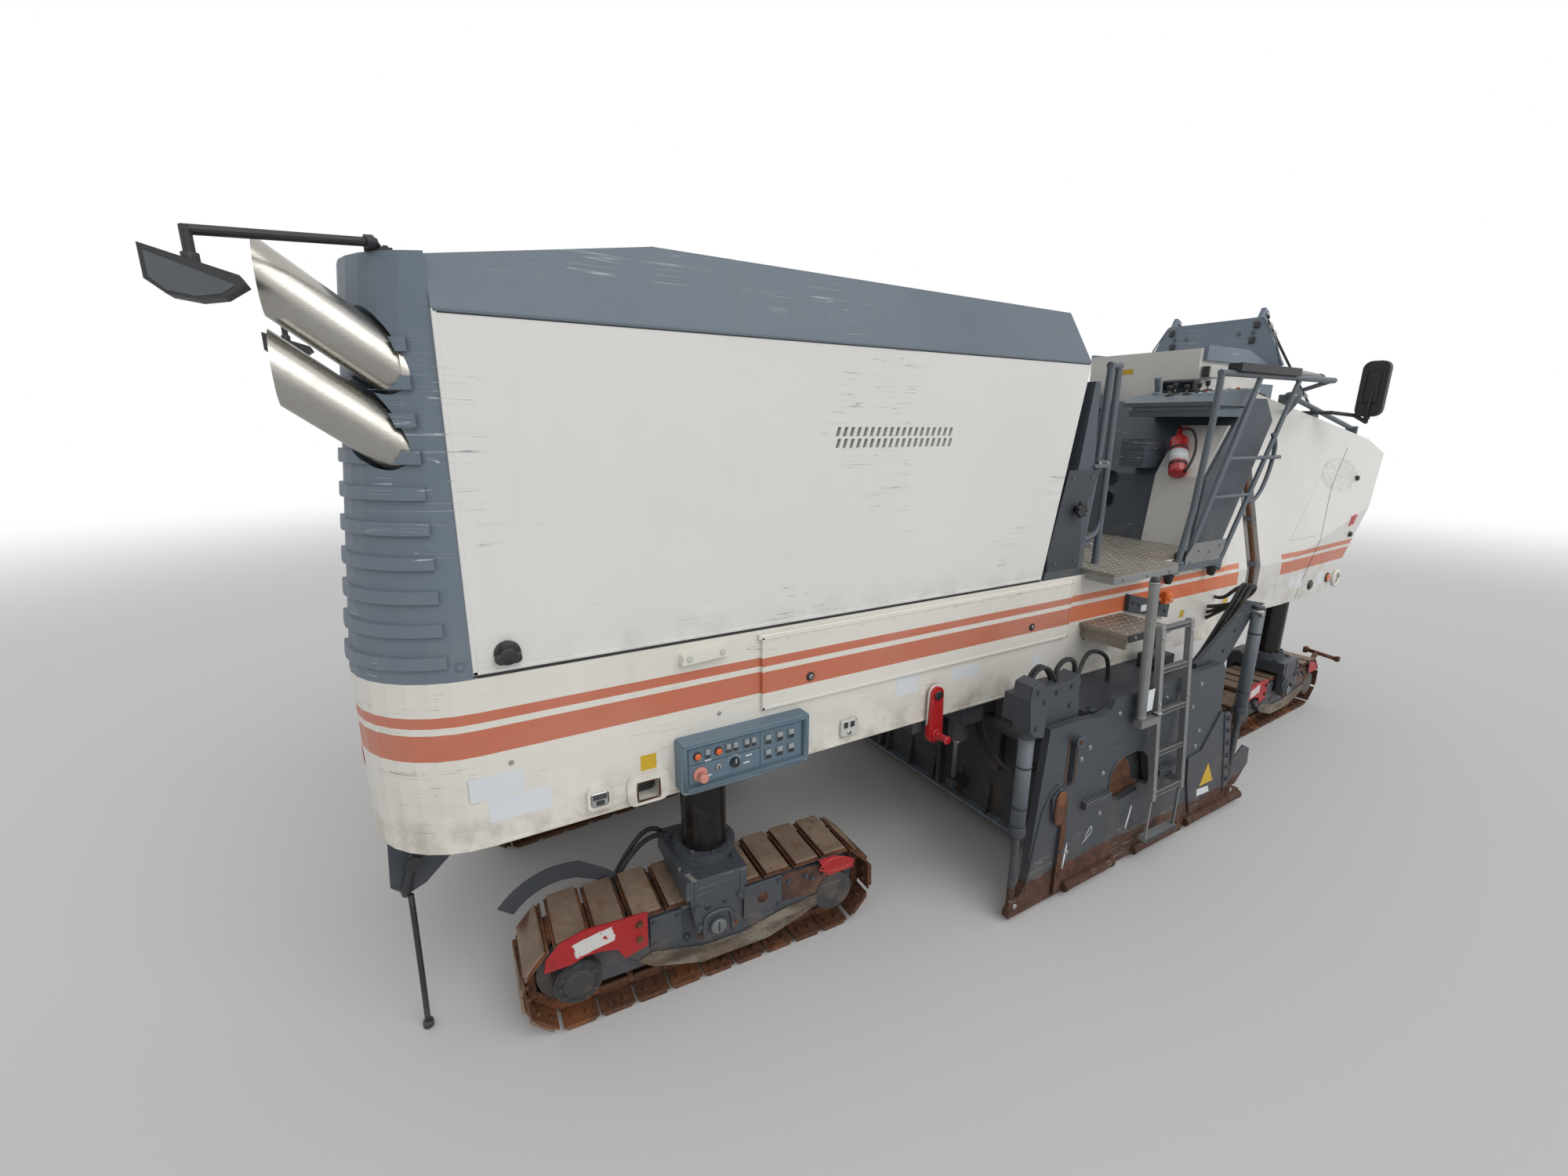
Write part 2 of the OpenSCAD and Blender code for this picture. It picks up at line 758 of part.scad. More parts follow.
module conveyor_frame() {
    color(slate)
        along_belt() {
            both_sides()
                box([60, -channel + 10, -110], [belt_l - 40, -channel + 40, 110]);
            for (x = [500, 1150])
                box([x, -channel + 20, -20], [x + 60, channel - 20, 20]);
            for (x = [1750, 2400, 3100])
                box([x, -channel, -20], [x + 60, channel, 20]);
            for (x = [530, 1180, 1780, 2430, 3130])
                rod_y([x, -channel + 20, belt_r - belt_t - 30 - fit], 30, 2 * channel - 40);
            for (x = [belt_r, belt_l - belt_r])
                rod_y([x, -channel + 20, 0], belt_r - belt_t - 1.2, 2 * channel - 40);
        }
}

module conveyor_belt() {
    r = belt_r;
    color([0.1, 0.1, 0.1])
        along_belt()
            difference() {
                across(-channel + 60, channel - 60)
                    polygon(concat(arc([r, 0], r, 90, 270, 10), arc([belt_l - r, 0], r, -90, 90, 10)));
                across(-channel, channel)
                    polygon(concat(arc([r, 0], r - belt_t, 90, 270, 10),
                        arc([belt_l - r, 0], r - belt_t, -90, 90, 10)));
            }
}

// Slewing hitch for a discharge belt, under the nose
module conveyor_hitch() {
    color(slate)
        difference() {
            union() {
                box([2700, -channel, 1060], [2760, channel, 1240]);
                for (z = [1060, 1180])
                    translate([0, 0, z])
                        linear_extrude(height = 60)
                            polygon(concat([[2700, -300], [3240, -110]], arc([3280, 0], 110, -70, 70, 8),
                                [[3240, 110], [2700, 300]]));
            }
            rod_z([3280, 0, 1000], 40, 300);
        }
}

// Slanted slots of the side grille
module slot_rows() {
    for (row = [0, 1], i = [0:slots - 1])
        translate([-2085 + 34 * i, 0, 2285 + 46 * row])
            across(-half_w - eps, -half_w + skin + eps)
                polygon([[0, 0], [16, 0], [28, 36], [12, 36]]);
}

// White sides of the hood
module hood_sides() {
    x0 = seam_x + hood_gap;
    color(white)
        both_sides()
            difference() {
                across(-half_w, -half_w + skin)
                    polygon([[x0, hood_z], [hood_front, hood_z], [roof_front, brow_z], [x0, brow_z]]);
                slot_rows();
            }
}

// Profile of the roof from the side, drawn in by g
function roof_side(g) = [[seam_x + hood_gap - 2 * g, brow_z - 2 * g],
    [seam_x + hood_gap - 2 * g, roof_rear_z - g], [ridge_x, ridge_z - g],
    [roof_front - 73 - g, ridge_z - 24 - g], [roof_front - g, brow_z - 2 * g]];

module roof_solid(g) {
    intersection() {
        across(-half_w, half_w)
            polygon(roof_side(g));
        rotate([90, 0, 90])
            translate([0, 0, seam_x - 100])
                linear_extrude(height = roof_front - seam_x + 200)
                    polygon([[-half_w + g, brow_z - 2 * g], [half_w - g, brow_z - 2 * g],
                        [half_w - g, brow_z], [half_w - roof_lean - g, ridge_z],
                        [-half_w + roof_lean + g, ridge_z], [-half_w + g, brow_z]]);
    }
}

module hood_roof() {
    color(slate)
        difference() {
            union() {
                difference() {
                    roof_solid(0);
                    roof_solid(skin);
                }
                both_sides()
                    hood_hinge(knuckle_r, 60);
            }
            both_sides()
                hood_hinge(knuckle_pin + fit, 114);
        }
}

// A round bar on the hood's hinge line, on the right
module hood_hinge(r, l) {
    rod_y([seam_x + hood_gap, -660 - l / 2, roof_rear_z], r, l);
}

// Long service door on the right of the chassis
module tool_door() {
    y = -half_w - fit;
    color(white)
        difference() {
            union() {
                box([door_x[0], y - door_t, 1226], [door_x[1], y, door_z]);
                rod_x([door_x[0], hinge_y, door_z + 4], hinge_r, door_x[1] - door_x[0]);
            }
            for (x = [-2197, -785])
                rod_y([x, y - 20, 1332], 9, 12);
            for (x = [door_x[0] - eps, door_x[1] - 20])
                rod_x([x, hinge_y, door_z + 4], hinge_pin + fit, 20 + eps);
        }
}

// Lugs with pins at both ends of the tool door's hinge
module hinge_lugs() {
    for (x = [door_x[0] - 14 - fit, door_x[1] + fit])
        box([x, hinge_y - 9, door_z - 6], [x + 14, -half_w + eps, door_z + 14]);
    for (x = [door_x[0] - 10, door_x[1] - 17])
        rod_x([x, hinge_y, door_z + 4], hinge_pin, 27);
}

// Milling drum with its flights of tool holders
module drum() {
    color(rust) {
        rod_y([drum_x, -drum_w, drum_z], drum_r, 2 * drum_w);
        both_sides()
            for (f = [0:2], i = [0:holders - 1])
                translate([drum_x, -drum_w + 30 + i * (drum_w - 60) / holders, drum_z])
                    rotate([0, f * 120 + i * 26, 0])
                        translate([drum_r - 12, 0, -35])
                            rotate([0, 18, 0])
                                cube([cut_r - drum_r, 52, 60]);
        both_sides()
            rod_y([drum_x, -drum_w - 30 + fit, drum_z], 140, 31);
    }
}

// Side plate on the right, with its runner, skids, steps, slot and rods
module side_plate() {
    y = -plate_in - plate_t / 2;
    color(slate) {
        difference() {
            across(-plate_out, -plate_in)
                polygon([[-1290, 50], [880, 50], [900, 80], [700, 130], [653, 146], [503, 702], [465, 760],
                    [440, 1000], [400, 1043], [-634, 1043], [-657, 994], [-748, 973], [-896, 994],
                    [-1126, 998], [-1155, 634], [-1191, 174]]);
            across(-plate_out - eps, -plate_in + eps)
                polygon(concat(arc([-935, 900], guide_r + fit, 0, 180, 12),
                    arc([-935, 900 - plate_rise], guide_r + fit, 180, 360, 12)));
            across(-plate_out - eps, -plate_in + eps)
                polygon([[-596, 496], [-588, 616], [-548, 668], [-492, 695], [-375, 694], [-312, 675],
                    [-264, 633], [-208, 457], [-477, 419], [-544, 464]]);
        }
        box([-1290, -plate_out, runner_z], [880, -plate_in, 51]);
        for (x = [[-893, -474], [-288, 171], [246, 880]])
            rod_x([x[0], -plate_out - 4, runner_z + 30], 28, x[1] - x[0]);
        across(-plate_out - 14, -plate_out + eps)
            polygon([[-972, 39], [-940, 39], [-928, 498], [-952, 637], [-1018, 671], [-1069, 630],
                [-1049, 509], [-978, 442]]);
        for (x = [[-815, -601], [-162, 66]])
            box([x[0], -plate_out - 30, 485], [x[1], -plate_out + eps, 523]);
        rod_z([lift_x[0], y, 55], rod_r, 745);
        rod_z([lift_x[1], y, 55], rod_r, 985);
    }
}

// Ladder that leans against a side plate, with a grab post and a hung lower tread
module ladder() {
    lean = atan(88 / 960);
    color(galv) {
        translate([ladder_x, -plate_out - 100, 420])
            rotate([-lean, 0, 0]) {
                for (x = [0, 270])
                    box([x, 0, 0], [x + 32, 32, 966]);
                for (z = [20, 250, 480, 710, 930])
                    box([30, 3, z], [272, 29, z + 26]);
            }
        for (x = [ladder_x, ladder_x + 270]) {
            box([x + 5, -plate_out - 82, 440], [x + 27, -plate_out, 480]);
            box([x + 5, -plate_out - 27, 960], [x + 27, -plate_out, 1000]);
            box([x + 10, -plate_out - 87, 172], [x + 22, -plate_out - 74, 446]);
        }
        box([ladder_x + 10, -plate_out - 98, 160], [ladder_x + 292, -plate_out - 48, 185]);
        bar([ladder_x - 130, -plate_out - 42, 888], [ladder_x - 190, -plate_out - 42, 1640], 24);
        box([ladder_x - 163, -plate_out - 70, 872], [ladder_x + 8, -plate_out - 29, 911]);
    }
}

module side_plate_right() {
    side_plate();
}

module side_plate_left() {
    mirror([0, 1, 0])
        side_plate();
}

module ladder_right() {
    ladder();
}

module ladder_left() {
    mirror([0, 1, 0])
        ladder();
}

// Blade that closes the milling unit at the rear
module scraper() {
    x = unit_x[0] - 5;
    color(slate) {
        box([x - 35, -drum_w - 55, 60], [x, drum_w + 55, 870]);
        for (y = [-900, -300, 300, 870])
            box([x - 80, y, 100], [x - 35 + eps, y + 30, 800]);
    }
}

// Lift column over the track at the right
module column(i) {
    color([0.14, 0.14, 0.15])
        rod_z([column_x[i], -column_y, 560], column_r, column_top - 560);
}

// Turns a track to its steering angle at rest
module at_track(i) {
    translate([column_x[i], -column_y, 0])
        rotate([0, 0, steer[i]])
            children();
}

// Yoke, side frames, guards and wheels inside a track
module crawler(i) {
    r = track_h / 2;
    in_r = r - pad_t - chain_t;
    reach = track_l / 2 - r;
    guard_y = track_w / 2 + 14;
    color(slate)
        at_track(i) {
            box([-155, -205, 470], [115, 205, 560 - fit]);
            difference() {
                rod_z([0, 0, 555], 135, 45);
                rod_z([0, 0, 550], column_r + 1.5, 60);
            }
            for (y = [-205, 160])
                across(y, y + 45)
                    polygon([[-137, 471], [104, 471], [104, 446], [73, 424], [56, 266], [-92, 276],
                        [-113, 309]]);
            rod_y([-20, -216, 314], 40, 432);
            for (y = [-side_w, 85])
                across(y, y + side_w - 85)
                    polygon([[-410, 405], [-410, 270], [-349, 214], [-289, 164], [-73, 95], [244, 95],
                        [413, 144], [571, 212], [620, 294], [548, 385], [318, 405]]);
            across(-side_w - 10, -side_w + eps)
                polygon([[-349, 214], [-289, 164], [-73, 95], [244, 95], [413, 144], [571, 212], [560, 240],
                    [318, 216], [114, 173], [-71, 180], [-286, 236]]);
            across(-side_w - 6, -side_w + eps)
                polygon([[318, 400], [548, 385], [600, 310], [571, 230], [318, 262]]);
            box([-reach, -110, 150], [reach, 110, 290]);
            for (x = [-reach, reach]) {
                rod_y([x, -58, r], in_r - eps, 116);
                rod_y([x, -track_w / 2 + 2, r], hub_r, track_w - 4);
            }
            across(-guard_y - guard_t, -guard_y)
                polygon([[-715, 334], [-705, 389], [-653, 442], [-554, 469], [-460, 463], [-310, 458],
                    [-313, 301], [-406, 276], [-436, 329], [-499, 348], [-562, 351], [-613, 334]]);
            box([-400, -guard_y - eps, 290], [-325, -side_w + eps, 400]);
            across(-guard_y, -guard_y + guard_t)
                polygon([[492, 430], [580, 427], [691, 373], [683, 330], [547, 328]]);
            box([520, -guard_y + eps, 335], [565, -side_w + eps, 375]);
            across(guard_y - 6, guard_y - 6 + guard_t)
                polygon(concat(arc([-reach, r], 330, 142, 76, 8), [[-412, 475], [-330, 400], [-330, 290],
                    [-400, 290], [-450, 430]], arc([-reach, r], 255, 76, 142, 8)));
            box([-400, side_w - eps, 290], [-335, guard_y - 5, 390]);
        }
}

// Outline of a track: the chain and the pads on it
module track(i) {
    r = track_h / 2;
    reach = track_l / 2 - r;
    run = 4 * reach + 2 * PI * (r - pad_t);
    color(rust)
        at_track(i)
            translate([0, 0, r]) {
                across(-60, 60)
                    difference() {
                        stadium(r - pad_t + 4, reach);
                        stadium(r - pad_t - chain_t, reach);
                    }
                across(-track_w / 2, track_w / 2)
                    for (k = [0:pads - 1])
                        on_track(k * run / pads, r - pad_t, reach)
                            polygon([[-62, 0], [-62, pad_t - 8], [-54, pad_t], [54, pad_t], [62, pad_t - 8],
                                [62, 0]]);
            }
}

module stadium(r, reach) {
    polygon(concat(arc([reach, 0], r, -90, 90, 16), arc([-reach, 0], r, 90, 270, 16)));
}

// Places a pad at distance s along the loop
module on_track(s, r, reach) {
    bend = PI * r;
    if (s < 2 * reach)
        translate([reach - s, r])
            children();
    else if (s < 2 * reach + bend)
        translate([-reach, 0])
            rotate((s - 2 * reach) / r * 180 / PI)
                translate([0, r])
                    children();
    else if (s < 4 * reach + bend)
        translate([-reach + s - 2 * reach - bend, -r])
            rotate(180)
                children();
    else
        translate([reach, 0])
            rotate(180 + (s - 4 * reach - bend) / r * 180 / PI)
                translate([0, r])
                    children();
}

module column_rear_right() {
    column(0);
}

module column_rear_left() {
    mirror([0, 1, 0])
        column(0);
}

module column_front_right() {
    column(1);
}

module column_front_left() {
    mirror([0, 1, 0])
        column(1);
}

module crawler_rear_right() {
    crawler(0);
}

module crawler_rear_left() {
    mirror([0, 1, 0])
        crawler(0);
}

module crawler_front_right() {
    crawler(1);
}

module crawler_front_left() {
    mirror([0, 1, 0])
        crawler(1);
}

module track_rear_right() {
    track(0);
}

module track_rear_left() {
    mirror([0, 1, 0])
        track(0);
}

module track_front_right() {
    track(1);
}

module track_front_left() {
    mirror([0, 1, 0])
        track(1);
}

main_frame();
front_tanks();
front_cover();
front_wall();
centre_box();
hoist_gantry();
platform();
bulkhead();
rails();
consoles();
extinguisher();
corner_right();
corner_left();
rear_grille();
exhaust();
engine();
control_panel();
lever();
tow_brackets();
mirrors();
lamps();
hoses();
drum_housing();
conveyor_frame();
conveyor_belt();
conveyor_hitch();
hood_sides();
hood_roof();
tool_door();
drum();
side_plate_right();
side_plate_left();
ladder_right();
ladder_left();
scraper();
column_rear_right();
column_rear_left();
column_front_right();
column_front_left();
crawler_rear_right();
crawler_rear_left();
crawler_front_right();
crawler_front_left();
track_rear_right();
track_rear_left();
track_front_right();
track_front_left();
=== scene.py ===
import math
import bmesh
import bpy
from mathutils import Matrix, Vector


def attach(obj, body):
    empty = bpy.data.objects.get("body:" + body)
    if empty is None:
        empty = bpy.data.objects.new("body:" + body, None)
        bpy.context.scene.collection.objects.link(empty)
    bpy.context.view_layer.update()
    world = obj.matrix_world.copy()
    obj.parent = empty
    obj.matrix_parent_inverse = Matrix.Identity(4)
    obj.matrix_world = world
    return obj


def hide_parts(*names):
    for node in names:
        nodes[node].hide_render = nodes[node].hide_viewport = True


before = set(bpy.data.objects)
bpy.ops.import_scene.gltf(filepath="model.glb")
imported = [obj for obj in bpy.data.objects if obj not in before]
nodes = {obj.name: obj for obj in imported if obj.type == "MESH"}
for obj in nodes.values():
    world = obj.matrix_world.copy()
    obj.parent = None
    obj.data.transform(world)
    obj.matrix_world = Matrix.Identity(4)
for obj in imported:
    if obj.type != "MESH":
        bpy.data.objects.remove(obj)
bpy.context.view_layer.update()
materials = {}


# Shader maths: a wire is a socket that takes part in plain expressions
class Wire:
    def __init__(self, net, socket):
        self.net = net
        self.socket = socket

    def maths(self, operation, other, flipped=False):
        pair = [other, self] if flipped else [self, other]
        isVector = any(isinstance(p, tuple) or isinstance(p, Wire) and p.socket.type != "VALUE"
            for p in pair)
        if not isVector:
            return self.net.add("ShaderNodeMath", {"operation": operation}, dict(enumerate(pair)))
        pair = [(p, p, p) if isinstance(p, (int, float)) else p for p in pair]
        return self.net.add("ShaderNodeVectorMath", {"operation": operation}, dict(enumerate(pair)))

    def __add__(self, other):
        return self.maths("ADD", other)

    def __radd__(self, other):
        return self.maths("ADD", other, True)

    def __sub__(self, other):
        return self.maths("SUBTRACT", other)

    def __rsub__(self, other):
        return self.maths("SUBTRACT", other, True)

    def __mul__(self, other):
        return self.maths("MULTIPLY", other)

    def __rmul__(self, other):
        return self.maths("MULTIPLY", other, True)

    def __truediv__(self, other):
        return self.maths("DIVIDE", other)

    def __mod__(self, other):
        return self.maths("FLOORED_MODULO", other)

    def __abs__(self):
        return self.net.add("ShaderNodeMath", {"operation": "ABSOLUTE"}, {0: self})

    def atLeast(self, other):
        return self.maths("MAXIMUM", other)

    def atMost(self, other):
        return self.maths("MINIMUM", other)

    def ramp(self, low, high):  # 0 below low, 1 above high, or the other way round
        return self.net.add("ShaderNodeMapRange", {"interpolation_type": "SMOOTHSTEP"},
            {"Value": self, "From Min": low, "From Max": high})

    def band(self, low, high, soft=0.0004):
        return self.ramp(low - soft, low + soft) * self.ramp(high + soft, high - soft)

    def root(self):
        return self.net.add("ShaderNodeMath", {"operation": "SQRT"}, {0: self})

    def floor(self):
        return self.net.add("ShaderNodeMath", {"operation": "FLOOR"}, {0: self})


class Net:
    def __init__(self, name, slotName):
        self.material = bpy.data.materials.new(name)
        self.material.use_nodes = True
        self.tree = self.material.node_tree
        self.shader = self.tree.nodes["Principled BSDF"]
        self.place = self.add("ShaderNodeTexCoord", {}, {}, "Object")
        self.x, self.y, self.z = (self.add("ShaderNodeSeparateXYZ", {}, {0: self.place}, axis)
            for axis in "XYZ")
        materials[name] = (self.material, slotName)

    def socket(self, sockets, key):
        if isinstance(key, int):
            return sockets[key]
        return next(s for s in sockets if s.enabled and s.name == key)

    def add(self, kind, settings, sockets, output=None):
        node = self.tree.nodes.new(kind)
        for key, value in settings.items():
            setattr(node, key, value)
        for key, value in sockets.items():
            socket = self.socket(node.inputs, key)
            if isinstance(value, Wire):
                self.tree.links.new(value.socket, socket)
            else:
                socket.default_value = value
        found = self.socket(node.outputs, output) if output else next(s for s in node.outputs if s.enabled)
        return Wire(self, found)

    def mix(self, mask, first, second):
        first, second = ((*c, 1) if isinstance(c, tuple) and len(c) == 3 else c for c in (first, second))
        return self.add("ShaderNodeMix", {"data_type": "RGBA"}, {"Factor": mask, "A": first, "B": second})

    def noise(self, scale, detail=3, roughness=0.55, stretch=(1, 1, 1), shift=(0, 0, 0)):
        place = self.add("ShaderNodeMapping", {},
            {"Vector": self.place, "Location": shift, "Scale": stretch})
        return self.add("ShaderNodeTexNoise", {}, {"Vector": place, "Scale": scale, "Detail": detail,
            "Roughness": roughness})

    def flat(self):  # 1 on faces that look up
        normal = self.add("ShaderNodeNewGeometry", {}, {}, "Normal")
        return self.add("ShaderNodeSeparateXYZ", {}, {0: normal}, "Z").ramp(0.7, 0.9)

    def bump(self, height, strength, distance):
        return self.add("ShaderNodeBump", {}, {"Height": height, "Strength": strength,
            "Distance": distance})

    def finish(self, **values):
        for key, value in values.items():
            socket = self.shader.inputs[{"colour": "Base Color", "roughness": "Roughness",
                "metallic": "Metallic", "normal": "Normal", "coat": "Coat Weight",
                "coatRoughness": "Coat Roughness"}[key]]
            if isinstance(value, Wire):
                self.tree.links.new(value.socket, socket)
            else:
                socket.default_value = (*value, 1) if isinstance(value, tuple) else value


# Painted, scuffed and dusty metal or plastic
def paintFinish(name, slotName, colour, fade, rough=0.42, dirt=(0.2, 0.16, 0.11), dirtLow=0.0, dirtHigh=0.3,
        dirtMost=0.5, dust=0.12, chips=0.0, chipColour=(0.1, 0.045, 0.025), scratches=0.0,
        scratchColour=(0.62, 0.64, 0.66), scratchStretch=(0.7, 0.7, 34), stripes=(), rustTop=None, grain=0.02,
        coat=0.0, stripeChange=None, stripeGap=None, areas=None):
    net = Net(name, slotName)
    broad = net.noise(0.8, 4, 0.6)
    fine = net.noise(7.0, 6, 0.65, shift=(3, 1, 7))
    shade = net.mix(broad.ramp(0.3, 0.7), colour, fade)
    for low, high, stripeColour, frontColour in stripes:
        wobble = (fine - 0.5) * 0.0012
        stripe = (net.z + wobble).band(low, high)
        tone = stripeColour
        if stripeChange is not None:
            tone = net.mix(net.x.ramp(stripeChange - 0.001, stripeChange + 0.001), stripeColour,
                frontColour)
        if stripeGap is not None:  # bare between the two places, with a torn rear edge, and faded ahead of it
            stripe = stripe * (1 - (net.x + (fine - 0.5) * 0.05).band(*stripeGap))
            tone = net.mix(net.x.ramp(stripeGap[1] - 0.05, stripeGap[1] - 0.03), tone, stripeColour)
        shade = net.mix(stripe * (0.9 + 0.1 * broad.ramp(0.35, 0.6)), shade, tone)
    for area, tone in (areas(net) if areas else ()):
        shade = net.mix(area, shade, tone)
    runs = net.noise(2.6, 5, 0.7, stretch=(3.2, 3.2, 0.35), shift=(0, 5, 2))
    lower = net.z.ramp(dirtHigh, dirtLow)
    grime = lower * fine.ramp(0.38, 0.68) * dirtMost + runs.ramp(0.56, 0.8) * dust
    grime = grime + fine.ramp(0.6, 0.85) * dust
    shade = net.mix(grime.atMost(0.95), shade, dirt)
    roughness = rough + 0.22 * grime + 0.1 * (fine - 0.5)
    height = net.noise(90, 2, 0.5) * grain
    if rustTop is not None:
        edge = (net.z + (fine - 0.5) * 0.1 + (broad - 0.5) * 0.12).ramp(rustTop + 0.012, rustTop - 0.012)
        rust = net.mix(net.noise(16, 6, 0.7).ramp(0.35, 0.7), (0.04, 0.018, 0.011), (0.105, 0.042, 0.022))
        rust = net.mix(net.noise(3, 5, 0.7, stretch=(1, 1, 0.4)).ramp(0.55, 0.72), rust,
            (0.085, 0.06, 0.042))
        shade = net.mix(edge, shade, rust)
        roughness = roughness + edge * 0.3
        height = height + edge * net.noise(60, 5, 0.7) * 0.5
    if chips:
        spots = net.noise(21, 5, 0.75, shift=(9, 4, 1))
        chip = spots.ramp(0.735 - 0.09 * chips, 0.755 - 0.09 * chips) * broad.ramp(0.4, 0.55)
        shade = net.mix(chip, shade, chipColour)
        roughness = roughness + chip * 0.3
        height = height - chip * 0.3
    if scratches:
        lines = net.noise(1.6, 2, 0.4, stretch=scratchStretch, shift=(1, 6, 3))
        where = net.noise(1.9, 3, 0.6, shift=(7, 2, 5)).ramp(0.5, 0.62)
        line = (abs(lines - 0.5).ramp(0.006 + 0.01 * scratches, 0.003)) * where * fine.ramp(0.42, 0.52)
        shade = net.mix(line * 0.75, shade, scratchColour)
        roughness = roughness + line * 0.2
    net.finish(colour=shade, roughness=roughness, normal=net.bump(height, 0.5, 0.004), coat=coat,
        coatRoughness=0.25)


brightFrom = -0.471  # x of the service door's front edge, ahead of which the stripes are brighter
warmStripe, brightStripe = (0.53, 0.155, 0.085), (0.66, 0.135, 0.028)
stripeRows = ((1.417, 1.454, warmStripe, brightStripe), (1.3, 1.393, warmStripe, brightStripe))
paintFinish("whiteHood", "white_paint", (0.74, 0.735, 0.715), (0.7, 0.695, 0.67), rough=0.34,
    dirt=(0.34, 0.31, 0.26), dirtLow=1.58, dirtHigh=1.75, dirtMost=0.25, dust=0.05, scratches=0.12,
    scratchColour=(0.2, 0.22, 0.25), coat=0.25)
paintFinish("whiteChassis", "white_paint", (0.76, 0.735, 0.68), (0.7, 0.675, 0.61), rough=0.36,
    dirt=(0.27, 0.22, 0.155), dirtLow=0.93, dirtHigh=1.22, dirtMost=0.55, dust=0.1, chips=0.35,
    chipColour=(0.14, 0.075, 0.045), scratches=0.1, scratchColour=(0.25, 0.24, 0.22), stripes=stripeRows,
    coat=0.2, stripeChange=brightFrom)


def noseScuffs(net):  # a scraped ring on the right tank's nose, and straight scrapes that lead to it
    right = net.y.ramp(-0.45, -0.5)
    rough = net.noise(14, 6, 0.75, stretch=(1, 1, 1.6), shift=(6, 1, 2))
    over, rise = net.x - 3.12, net.z - 2.0
    ring = (over * over / 0.109 + rise * rise / 0.017).root()
    smear = ring.ramp(1.12, 0.8) * abs(rough - 0.5).ramp(0.03, 0.008)
    hoop = ring.band(0.86, 1.02, 0.06) * rough.ramp(0.42, 0.56)
    slope = math.atan2(0.401, 0.534)
    off = (net.z - 1.543) * math.cos(slope) - (net.x - 2.171) * math.sin(slope)
    line = off.band(-0.003, 0.003, 0.002) * net.x.band(2.171, 2.95)
    foot = net.z.band(1.541, 1.547, 0.002) * net.x.band(2.171, 2.6)
    trace = line.atLeast(foot) * rough.ramp(0.4, 0.5)
    return ((smear * right * 0.6, (0.33, 0.29, 0.23)), (hoop * right * 0.45, (0.42, 0.39, 0.34)),
        (trace * right * 0.7, (0.3, 0.28, 0.25)))


paintFinish("whiteFront", "white_paint", (0.7, 0.69, 0.66), (0.63, 0.62, 0.585), rough=0.38,
    dirt=(0.26, 0.21, 0.15), dirtLow=1.05, dirtHigh=1.6, dirtMost=0.4, dust=0.12, chips=0.15,
    stripes=stripeRows, coat=0.15, stripeChange=brightFrom, stripeGap=(1.39, 2.01), areas=noseScuffs)
paintFinish("slateRoof", "slate_paint", (0.105, 0.135, 0.172), (0.125, 0.155, 0.19), rough=0.48,
    dirt=(0.22, 0.22, 0.21), dirtLow=0, dirtHigh=0.1, dust=0.1, scratches=0.75,
    scratchColour=(0.55, 0.58, 0.6), scratchStretch=(0.55, 6, 26), grain=0.05)
paintFinish("slateCorner", "slate_paint", (0.15, 0.19, 0.235), (0.13, 0.165, 0.205), rough=0.5,
    dirt=(0.24, 0.22, 0.19), dirtLow=1.55, dirtHigh=2.0, dirtMost=0.18, dust=0.1, scratches=0.15, grain=0.1)
paintFinish("slatePanel", "slate_paint", (0.06, 0.075, 0.095), (0.08, 0.098, 0.12), rough=0.5,
    dirt=(0.2, 0.17, 0.13), dirtLow=1.55, dirtHigh=1.9, dirtMost=0.35, dust=0.16, chips=0.2, scratches=0.15)
paintFinish("slateRail", "slate_paint", (0.085, 0.105, 0.13), (0.115, 0.135, 0.155), rough=0.46,
    dirt=(0.22, 0.2, 0.17), dust=0.14, chips=0.4, chipColour=(0.2, 0.19, 0.18),
    areas=lambda net: ((net.z.ramp(2.703, 2.7036) * net.x.band(0.81, 1.62), (0.012, 0.012, 0.013)),))
# The milling unit's slate is darker than the corners' slate: partly dirt, partly painted shade
paintFinish("slateUnit", "slate_paint", (0.04, 0.047, 0.059), (0.052, 0.06, 0.073), rough=0.5,
    dirt=(0.13, 0.1, 0.075), dirtLow=0.15, dirtHigh=0.75, dirtMost=0.45, dust=0.14, chips=0.45,
    chipColour=(0.13, 0.06, 0.032), scratches=0.25, scratchColour=(0.35, 0.36, 0.37), rustTop=0.185)
paintFinish("slateGantry", "slate_paint", (0.19, 0.235, 0.295), (0.155, 0.195, 0.245), rough=0.5,
    dirt=(0.24, 0.22, 0.19), dust=0.14, chips=0.3, chipColour=(0.1, 0.09, 0.08), scratches=0.3)
# The scraper's slate is darker still: dirt, and painted shade for its place under the machine
paintFinish("slateScraper", "slate_paint", (0.034, 0.039, 0.047), (0.045, 0.049, 0.055), rough=0.6,
    dirt=(0.12, 0.095, 0.07), dirtLow=0.1, dirtHigh=0.8, dirtMost=0.6, dust=0.25, chips=0.5, rustTop=0.1)
paintFinish("slateHidden", "slate_paint", (0.04, 0.047, 0.058), (0.055, 0.06, 0.068), rough=0.6,
    dirt=(0.12, 0.085, 0.06), dirtLow=0.3, dirtHigh=1.5, dirtMost=0.7, dust=0.3, chips=0.6)

# Lift columns: end, x and steering angle; and the measures of the tracks under them
columns = (("rear", -2.635, -3.8), ("front", 2.4, 2.2))
columnY = 0.71
trackForm = {"pads": 24, "radius": 0.22, "reach": 0.59, "padFoot": 0.194, "padHalf": 0.062,
    "halfWidth": 0.149, "linkY": (0.036, 0.06), "linkDeep": 0.04}


